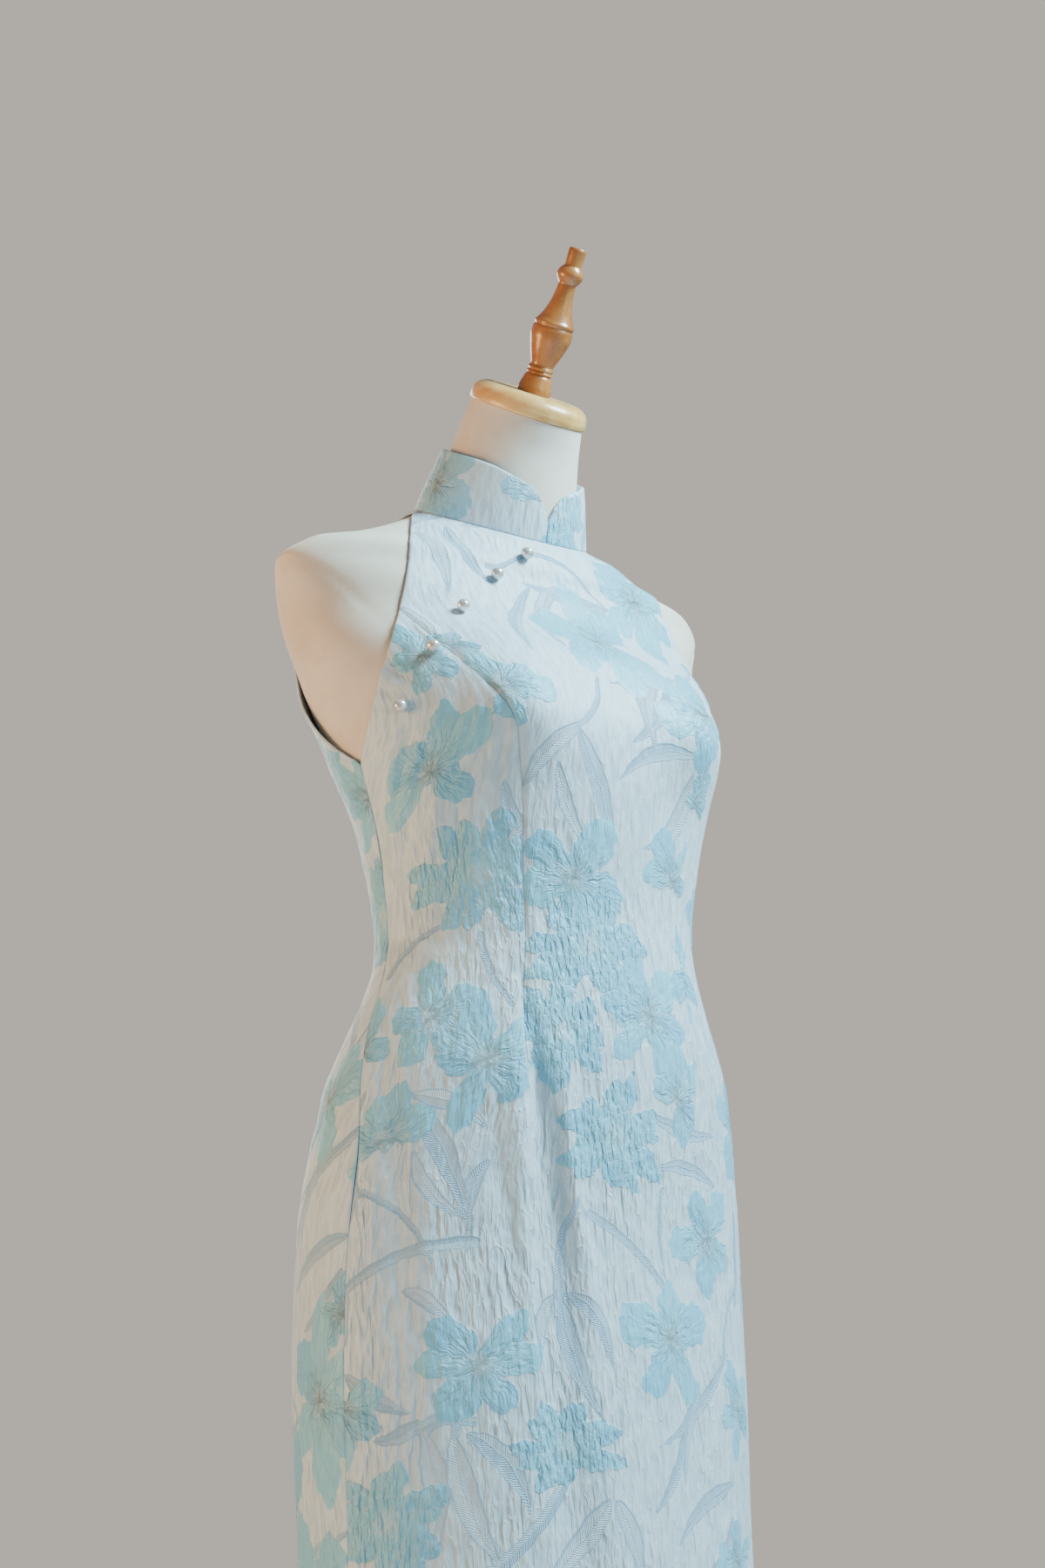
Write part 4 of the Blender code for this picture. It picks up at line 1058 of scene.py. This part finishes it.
def edge_fall(points, sides, foot, head):
    """Share of the wall lost towards each edge, which rounds it; less at a seam than at a free one."""
    lost = np.zeros(points.shape[:2])
    # A grid's first rows and their points, for each edge in turn, and how much is lost there.
    for shares, grid, fall in (
        (lost.T, points.transpose(1, 0, 2), sides),
        (lost.T[::-1], points.transpose(1, 0, 2)[::-1], sides),
        (lost, points, foot),
        (lost[::-1], points[::-1], head),
    ):
        near = np.clip(apart(grid[:EDGE_ROWS], grid[:1]) / EDGE_ROUNDING, 0.0, 1.0)
        rounded = 1.0 - np.sqrt(1.0 - (1.0 - near) ** 2)
        shares[:EDGE_ROWS] = np.maximum(shares[:EDGE_ROWS], fall * rounded)
    return lost


def sheet_piece(name, inner, outer, woven, on_line=None):
    """A thin shell of cloth: a close outer face with what is woven at each
    point, and a plainer inner face, joined all round."""
    rows, columns = outer.shape[:2]
    step = INNER_EVERY
    few = inner[::step, ::step]
    few_rows, few_columns = few.shape[:2]
    start = rows * columns
    faces = []
    line = np.zeros((rows, columns), dtype=bool) if on_line is None else on_line
    rising = line[:-1, :-1] & line[1:, 1:]
    falling = line[:-1, 1:] & line[1:, :-1]
    for r in range(rows - 1):
        for c in range(columns - 1):
            a = r * columns + c
            b, up, over = a + 1, a + columns, a + columns + 1
            if rising[r, c]:
                faces += [(a, b, over), (a, over, up)]
            elif falling[r, c]:
                faces += [(a, b, up), (b, over, up)]
            else:
                faces.append((a, b, over, up))
    outer_faces = len(faces)
    for r in range(few_rows - 1):
        for a in range(start + r * few_columns, start + (r + 1) * few_columns - 1):
            faces.append((a, a + few_columns, a + few_columns + 1, a + 1))
    outer_border = [r * columns + c for r, c in border_of(rows, columns)]
    inner_border = [start + r * few_columns + c for r, c in border_of(few_rows, few_columns)]
    for i, near in enumerate(inner_border):
        far = inner_border[(i + 1) % len(inner_border)]
        edge = [outer_border[(i * step + k) % len(outer_border)] for k in range(step + 1)]
        faces += [(edge[k + 1], edge[k], near if k < step // 2 else far) for k in range(step)]
        faces.append((edge[step // 2], near, far))
    points = np.concatenate([outer.reshape(-1, 3), few.reshape(-1, 3)])
    piece = new_piece(name, points, faces, cloth_material)
    values = {
        label: np.concatenate([grid.ravel(), grid[::step, ::step].ravel()]) for label, grid in woven.items()
    }
    weave_in(piece, values, outer_faces)
    return piece


def weave_in(piece, values, outer_faces):
    """Store on a piece, corner by corner, its flat cloth place and what is woven there.
    Beyond a dart the cloth place is counted on from the cloth that the dart takes up."""
    mesh = piece.data
    corner_vertex = np.zeros(len(mesh.loops), dtype=np.int32)
    mesh.loops.foreach_get("vertex_index", corner_vertex)
    corner_count = np.zeros(len(mesh.polygons), dtype=np.int32)
    mesh.polygons.foreach_get("loop_total", corner_count)
    corner_face = np.repeat(np.arange(len(mesh.polygons)), corner_count)
    outside = corner_face < outer_faces
    values = {label: given[corner_vertex] for label, given in values.items()}

    def face_mean(given):
        return np.bincount(corner_face, given) / corner_count

    def store(label, given):
        """Keep a value, or three, at every corner of the outer face."""
        three = given.ndim == 2
        layer = mesh.attributes.new(label, "FLOAT_VECTOR" if three else "FLOAT", "CORNER")
        given = np.where(outside[:, None] if three else outside, given, NOTHING_WOVEN)
        layer.data.foreach_set("vector" if three else "value", given.ravel().astype(np.float32))

    beyond = face_mean(values["beyond"])[corner_face] > 0.0
    across = values["across"] + np.where(beyond, values["intake"], 0.0)
    up = values["up"]
    flat = mesh.uv_layers.new(name="cloth")
    flat.data.foreach_set("uv", np.stack([across, up], axis=1).ravel().astype(np.float32))
    distinct, back = np.unique(np.round(np.stack([across, up], axis=1), 7), axis=0, return_inverse=True)
    for kind, (motifs, waver, shape_of) in MOTIFS.items():
        store(kind, motif_fields(kind, distinct[:, 0], distinct[:, 1])[0][back.ravel()] * MILLIMETRES)
        _, numbers, home = motif_fields(kind, face_mean(across), face_mean(up))
        numbers, home = numbers[:, corner_face], home[:, corner_face]
        drawn = hand_drawn(across, up, waver)
        found = np.zeros((2, len(across), 3))
        for which, number in ((w, n) for w in (0, 1) for n in np.unique(numbers[w])):
            chosen = np.flatnonzero(numbers[which] == number)
            right, rise = (drawn[chosen] - home[which, chosen]).T
            found[which, chosen] = np.stack(shape_of(motifs[number], right, rise), axis=1)
        place = found[0][:, [1, 2, 0]] * MILLIMETRES
        place[:, 2] = np.array([motif["kind"] for motif in motifs])[numbers[0]]
        store(kind + "_place", place)
        if kind == "petal":
            store("petal_lead", (found[0, :, 0] - found[1, :, 0]) * MILLIMETRES)
    for label in ("pressed", "seam", "seam_share"):
        if label in values:
            store(label, values[label])


def relief(across, up):
    """Height of the cloth's own relief that is large enough to stand in its form."""
    petal = motif_fields("petal", across.ravel(), up.ravel())[0].reshape(across.shape)
    return PETAL_PUFF * smooth_step(petal / PUFF_RISE + 0.15) + PUCKER * pucker_height(across, up)


def pressed_edges(points):
    """Share of the ripples that is pressed flat, which is all of them at a turned edge."""
    from_edge = np.minimum(apart(points, points[:, :1]), apart(points, points[:, -1:]))
    return 1.0 - smooth_step(np.minimum(from_edge, apart(points, points[-1:])) / PRESSED_REACH)


def panel_piece(name, laid, across, up, creases, form, inside, woven):
    """A body panel from what shapes it: folds and creases, its own form, which may show
    inside, and the cloth's relief. With it come its width and length as cut, and its area."""
    heights, points, outward = laid["heights"], laid["points"], laid["outward"]
    folds = np.array([fold_depth(h, row) for h, row in zip(heights[:, 0], laid["places"])])
    seamed = (heights[:, 0] > SLIT_TOP) & (heights[:, 0] < UNDERARM)
    kept = 1.0 - edge_fall(points, np.where(seamed, SEAM_FALL, 1.0), 1.0, NECKLINE_FALL)
    pressed = pressed_edges(points)
    grain = relief(across, up) * (1.0 - pressed)
    outer = points + outward * (CLOTH_WALL * kept + (folds + creases + form) + kept * grain)[..., None]
    inner = points + outward * (folds + inside + np.minimum(creases, 0.0))[..., None]
    piece = sheet_piece(name, inner, outer, woven | {"up": up, "pressed": pressed}, laid["on_line"])
    widths = np.abs(across[:, -1] - across[:, 0])
    area = float(np.sum(0.5 * (widths[1:] + widths[:-1]) * np.abs(np.diff(up.mean(axis=1)))))
    return piece, (float(np.ptp(across)), float(np.ptp(up))), area


def front_edge(height):
    return value_at(FRONT_EDGE, height) - seam_share(height, False)


def dart_line(hand):
    """The line that a dart's sewn edge follows, where it has one."""

    def place(height):
        return hand * value_at(DART, height) if DART_LOW < height < DART_TOP else None

    return place


def front_piece():
    laid = lay_panel(lambda h: (-front_edge(h), front_edge(h)), True, (dart_line(-1.0), dart_line(1.0)))
    heights, reach = laid["heights"], laid["reach"]
    lengths = np.array([quarter_length(h, False) for h in heights[:, 0]])[:, None]
    darts = np.array([value_at(DART, h) for h in heights[:, 0]])[:, None]
    offset = (np.abs(laid["places"]) - darts) * lengths
    offset[laid["on_line"]] = 0.0
    fade = smooth_step((heights - DART_LOW) / DART_FADE) * (heights < DART_TOP)
    intake = np.sign(reach) * through(DART_INTAKE, heights.ravel())[:, 0].reshape(heights.shape)
    groove = -DART_GROOVE * fade * np.exp(-np.abs(offset / DART_GROOVE_WIDTH))
    groove += DART_ROLL * fade * hump((offset + DART_ROLL_WIDTH) / DART_ROLL_WIDTH)
    woven = {"across": reach, "intake": intake, "beyond": offset, "seam": offset * MILLIMETRES}
    woven["seam_share"] = fade
    across = reach + np.where(offset > 0.0, intake, 0.0)
    creases = crease_depth(FRONT_CREASES, reach, heights)
    return panel_piece("dress_front", laid, across, laid["up"], creases, groove, 0.0, woven)


front, front_size, front_area = front_piece()
shade_smooth(front, 60.0)
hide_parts("front")


# =============================================================================
# The back. Two panels of the same cloth joined down the centre back, closed to
# the front at the sides above the slits, each let in by soft folds over the
# seat. Their armhole edge stands a little off the form under the arm.
BACK_ARMHOLE = (
    (1.18, 0.975), (1.19, 1.015), (1.2, 1.072), (1.2175, 1.138), (1.235, 1.195), (1.25, 1.255),
    (1.265, 1.306), (1.28, 1.344), (1.295, 1.375), (1.3125, 1.405), (1.3325, 1.427), (1.345, 1.433),
    (1.3535, 1.432), (1.362, 1.428), (1.369, 1.42), (1.376, 1.408), (1.3825, 1.39), (1.3875, 1.368),
    (1.3925, 1.333), (1.397, 1.288), (1.402, 1.205),
)
# Creases of each back panel, measured round from the centre back.
BACK_CREASES = {
    "back_right": (
        (60, 1060, 120, 1046, 5, -1.2, 4), (30, 1036, 95, 1020, 4.6, -1, -3),
        (130, 1180, 140, 1090, 6, -2, 5), (112, 1190, 106, 1110, 5.6, -1.6, 4),
        (90, 1215, 70, 1130, 6, -1.2, 5), (105, 930, 95, 760, 10, -2, 6), (160, 940, 170, 800, 10, -1.6, 6),
        (40, 900, 50, 640, 13, -1.8, 8),
    ),
    "back_left": (
        (-50, 1056, -126, 1050, 5, -1.2, 4), (-40, 1030, -100, 1014, 4.6, -0.9, 3),
        (-136, 1176, -132, 1100, 6, -1.8, 5), (-108, 1196, -114, 1104, 5.6, -1.6, 4),
        (-86, 1220, -60, 1140, 6, -1.1, 5), (-115, 940, -100, 740, 10, -1.8, 6),
        (-165, 930, -160, 810, 10, -1.8, 6), (-50, 890, -42, 660, 13, -1.6, 8),
    ),
}
ARMHOLE_GAPE = 0.0040
GAPE_MIDDLE = 1.222
GAPE_HALF_HEIGHT = 0.030
GAPE_REACH = 0.020
GAPE_START = 0.012
# How far along and up the cloth each back panel is cut from the front's chart.
BACK_CUT = {"back_right": (0.310, 0.230), "back_left": (-0.130, 0.470)}


def back_edges(height):
    """Places of a back panel's side or armhole, and of its centre seam, on the wearer's left."""
    if height <= UNDERARM:
        side = value_at(FRONT_EDGE, height) + seam_share(height, False)
    else:
        side = value_at(BACK_ARMHOLE, height) + seam_share(height, True)
    return side, 2.0 - seam_share(SLIT_TOP, True)


def back_piece(node, hand):
    laid = lay_panel(lambda h: sorted(hand * place for place in back_edges(h)), False)
    heights, points = laid["heights"], laid["points"]
    across = laid["reach"] + BACK_CUT[node][0]
    creases = crease_depth(BACK_CREASES[node], -laid["reach"], heights)
    armhole = points[:, :1] if hand > 0 else points[:, -1:]
    rise = hump((heights - GAPE_MIDDLE) / GAPE_HALF_HEIGHT) * smooth_step((heights - UNDERARM) / GAPE_START)
    gape = ARMHOLE_GAPE * rise * smooth_step(1.0 - apart(points, armhole) / GAPE_REACH)
    none = np.zeros(heights.shape)
    woven = {"across": across, "intake": none, "beyond": none}
    up = laid["up"] + BACK_CUT[node][1]
    return panel_piece("dress_" + node, laid, across, up, creases, gape, gape, woven)


for node, hand in (("back_right", -1), ("back_left", 1)):
    back, back_size, back_area = back_piece(node, hand)
    shade_smooth(back, 60.0)
    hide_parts(node)


# =============================================================================
# The stand collar. Two halves of the cloth over a stiff interlining, joined at
# the centre back and meeting at the centre front below two rounded corners.
# Its edge's rows are place round and height.
COLLAR_WALL = 0.0020
COLLAR_TOP = 1.452
COLLAR_EDGE = (
    (0.0, 1.415), (0.012, 1.4185), (0.03, 1.4225), (0.062, 1.428), (0.1, 1.4325), (0.15, 1.4365),
    (0.35, 1.4425), (0.63, 1.4475), (0.9, 1.449), (1.2, 1.4505), (2.0, 1.452),
)
COLLAR_EASE_FRONT = 0.0015
COLLAR_EASE_BACK = 0.0050
COLLAR_COLUMNS = 120
COLLAR_ROWS = 24
COLLAR_BULGE = 0.0004
COLLAR_PRESSED = 0.65
COLLAR_SIDE_FALL = 0.6
COLLAR_TOP_FALL = 0.8
COLLAR_CUT = {"collar_right": (0.070, -0.342), "collar_left": (0.150, -0.342)}


def collar_piece(node, hand):
    gap = 0.5 * SEAM_GAP / quarter_length(NECKLINE_HEIGHT, False)
    shares = np.linspace(0.0, 1.0, COLLAR_COLUMNS + 1)
    stations = gap + (2.0 - 2.0 * gap) * (0.35 * shares + 0.65 * shares**2.2)
    places = stations * hand
    foot = skin_ring(NECKLINE_HEIGHT, places)
    ease = COLLAR_EASE_FRONT + (COLLAR_EASE_BACK - COLLAR_EASE_FRONT) * stations / 2.0
    head = skin_ring(COLLAR_TOP, places) + skin_normals(COLLAR_TOP, places) * ease[:, None]
    upward = unit(head - foot)
    out = unit(np.cross(skin_across(NECKLINE_HEIGHT, places), upward))
    lean = np.linalg.norm(np.cross(out, skin_normals(NECKLINE_HEIGHT, places)), axis=1)
    start = foot + upward * (0.2 * SEAM_GAP + CLOTH_WALL * lean)[:, None]
    top = through(COLLAR_EDGE, stations)[:, 0]
    share = (top - NECKLINE_HEIGHT) / (COLLAR_TOP - NECKLINE_HEIGHT)
    rows = np.linspace(0.0, 1.0, COLLAR_ROWS + 1)
    rows = 0.5 - 0.5 * np.cos(math.pi * rows) * (0.65 + 0.35 * np.abs(np.cos(math.pi * rows)))
    inner = np.array([start + (head - start) * (share * r)[:, None] for r in rows])
    length = lengths_along(foot)
    across = hand * np.repeat(length[None], len(rows), axis=0) + COLLAR_CUT[node][0]
    up = NECKLINE_HEIGHT + apart(inner, inner[:1]) + COLLAR_CUT[node][1]
    kept = 1.0 - edge_fall(inner, np.full(len(rows), COLLAR_SIDE_FALL), NECKLINE_FALL, COLLAR_TOP_FALL)
    bulge = COLLAR_BULGE * np.sin(math.pi * rows)[:, None]
    lift = COLLAR_WALL * kept + kept * ((1.0 - COLLAR_PRESSED) * relief(across, up) + bulge)
    outer = inner + out[None] * lift[..., None]
    none = np.zeros(up.shape)
    woven = {"across": across, "up": up, "intake": none, "beyond": none, "pressed": none + COLLAR_PRESSED}
    woven = {label: grid[:, ::hand] for label, grid in woven.items()}
    piece = sheet_piece("dress_" + node, inner[:, ::hand], outer[:, ::hand], woven)
    depth = np.ptp(up, axis=0)
    area = float(np.sum(0.5 * (depth[1:] + depth[:-1]) * np.diff(length)))
    return piece, (float(length[-1]), float(np.ptp(up))), area


for node, hand in (("collar_right", -1), ("collar_left", 1)):
    collar, collar_size, collar_area = collar_piece(node, hand)
    shade_smooth(collar, 60.0)
    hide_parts(node)


# =============================================================================
# The pearl buttons. Five glass pearls with a silvery lacquer, sewn on by a
# short metal shank in a slanting row from the collar to the armhole.
PEARLS = ("button_1", "button_2", "button_3", "button_4", "button_5")
PEARL_RADIUS = 0.0049
PEARL_FLATNESS = 0.965


def pearl_lacquer():
    look = Look(
        bpy.data.materials.new("pearl_lacquer"),
        Roughness=0.20, Coat_Weight=0.8, Coat_Roughness=0.05, Specular_IOR_Level=0.7, Metallic=0.45,
    )
    # Painted reflection: each pearl is painted darker and browner towards its rim, for the dim room round
    # it.
    painted_rim_reflection = look.node("LayerWeight", 0.35)[1]
    cloud = look.noise(look.place(), 260.0, 2.0)
    tone = look.blended(look.between(cloud, 0.35, 0.65), paint(244, 241, 234), paint(228, 226, 226))
    tone = look.blended(look.between(painted_rim_reflection, 0.15, 0.85), tone, paint(170, 158, 146))
    look.shade(Base_Color=tone, Normal=look.raised(cloud, 0.15, 0.0002))
    return look.owner


def pearl(node, lacquer):
    low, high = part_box(node)
    middle = (low + high) / 2.0
    bpy.ops.object.select_all(action="DESELECT")
    bpy.ops.mesh.primitive_uv_sphere_add(segments=40, ring_count=24, radius=PEARL_RADIUS, location=middle)
    piece = bpy.context.object
    piece.name = node.replace("button", "pearl")
    bpy.ops.object.mode_set(mode="EDIT")
    bpy.ops.mesh.select_all(action="SELECT")
    bpy.ops.transform.resize(value=(1.0, 1.0, PEARL_FLATNESS), center_override=middle)
    bpy.ops.object.mode_set(mode="OBJECT")
    bpy.ops.object.transform_apply(location=True, rotation=True, scale=True)
    finish_piece(piece, lacquer, node, 80.0)


lacquer = pearl_lacquer()
for node in PEARLS:
    pearl(node, lacquer)


# =============================================================================
# The floor, the light and the camera. A plain pale floor, one large cool light
# from above on the wearer's left, a warm one from beside the wearer's right arm,
# and a weak wide fill from the front and the back.
FLOOR_SIZE = 9.0
FLOOR_HEIGHT = -0.0005
CAMERA = {"around": 36.473, "away": 1.731, "height": 0.687, "yaw": 0.146, "pitch": 16.258, "roll": -1.984}
CAMERA_SETBACK = -0.020
SENSOR = 24.0
FRAME_HEIGHT = 1800.0
FOCAL_PIXELS = 2703.0
# Place, what it shines on, size, power and colour.
LIGHTS = {
    "window": ((0.74, -1.16, 2.5), (0.0, 0.0, 1.15), 0.8, 122.0, (0.67, 0.965, 1.0)),
    "front_fill": ((0.9, -3.4, 1.1), (0.0, 0.0, 0.9), 2.0, 12.0, (0.79, 0.885, 1.0)),
    "warm_wall": ((-2.1, 0.7, 1.2), (0.0, 0.0, 1.0), 1.2, 48.0, (1.0, 0.56, 0.22)),
    "back_fill": ((0.9, 3.4, 2.4), (0.0, 0.0, 0.9), 2.4, 68.0, (0.95, 0.97, 1.0)),
}


def floor():
    bpy.ops.object.select_all(action="DESELECT")
    bpy.ops.mesh.primitive_grid_add(
        x_subdivisions=8, y_subdivisions=8, size=FLOOR_SIZE, location=(0.0, 0.0, FLOOR_HEIGHT)
    )
    piece = bpy.context.object
    piece.name = "pale_floor"
    bpy.ops.object.transform_apply(location=True, rotation=True, scale=True)
    look = Look(bpy.data.materials.new("pale_floor"), Roughness=0.8)
    cloud = look.between(look.noise(look.place(), 3.0, 3.0), 0.3, 0.7)
    look.shade(Base_Color=look.blended(cloud, paint(216, 210, 202), paint(222, 217, 210)))
    piece.data.materials.append(look.owner)


def soft_light(name, place, target, size, power, colour):
    lamp = bpy.data.lights.new(name, "AREA")
    lamp.shape = "DISK"
    lamp.size = size
    lamp.energy = power
    lamp.color = colour
    holder = bpy.data.objects.new(name, lamp)
    bpy.context.scene.collection.objects.link(holder)
    holder.location = place
    holder.rotation_euler = (Vector(target) - Vector(place)).to_track_quat("-Z", "Y").to_euler()


def camera():
    around, yaw, pitch, roll = (math.radians(CAMERA[part]) for part in ("around", "yaw", "pitch", "roll"))
    heading = around + yaw
    place = Vector((-math.sin(around), -math.cos(around), 0.0)) * CAMERA["away"]
    place += Vector((0.0, CAMERA_SETBACK, CAMERA["height"]))
    run = math.cos(pitch)
    ahead = Vector((math.sin(heading) * run, math.cos(heading) * run, math.sin(pitch)))
    level = ahead.cross(Vector((0.0, 0.0, 1.0))).normalized()
    above = level.cross(ahead)
    right = level * math.cos(roll) + above * math.sin(roll)
    up = above * math.cos(roll) - level * math.sin(roll)
    data = bpy.data.cameras.new("camera")
    data.sensor_fit = "VERTICAL"
    data.sensor_height = SENSOR
    data.lens = SENSOR * FOCAL_PIXELS / FRAME_HEIGHT
    holder = bpy.data.objects.new("camera", data)
    bpy.context.scene.collection.objects.link(holder)
    holder.matrix_world = Matrix.Translation(place) @ Matrix((right, up, -ahead)).transposed().to_4x4()
    bpy.context.scene.camera = holder


def surroundings():
    """A backdrop that the camera sees, and a weaker one that lights the dress."""
    bpy.context.scene.world = bpy.data.worlds.new("studio")
    look = Look(bpy.context.scene.world)
    seen = look.node("Background", paint(206, 198, 190), 0.92)[0]
    lit = look.node("Background", paint(209, 211, 226), 0.26)[0]
    mixed = look.node("MixShader", look.node("LightPath")[0], lit, seen)[0]
    look.feed(look.tree.nodes["World Output"].inputs[0], mixed)


floor()
for name, light in LIGHTS.items():
    soft_light(name, *light)
surroundings()
camera()
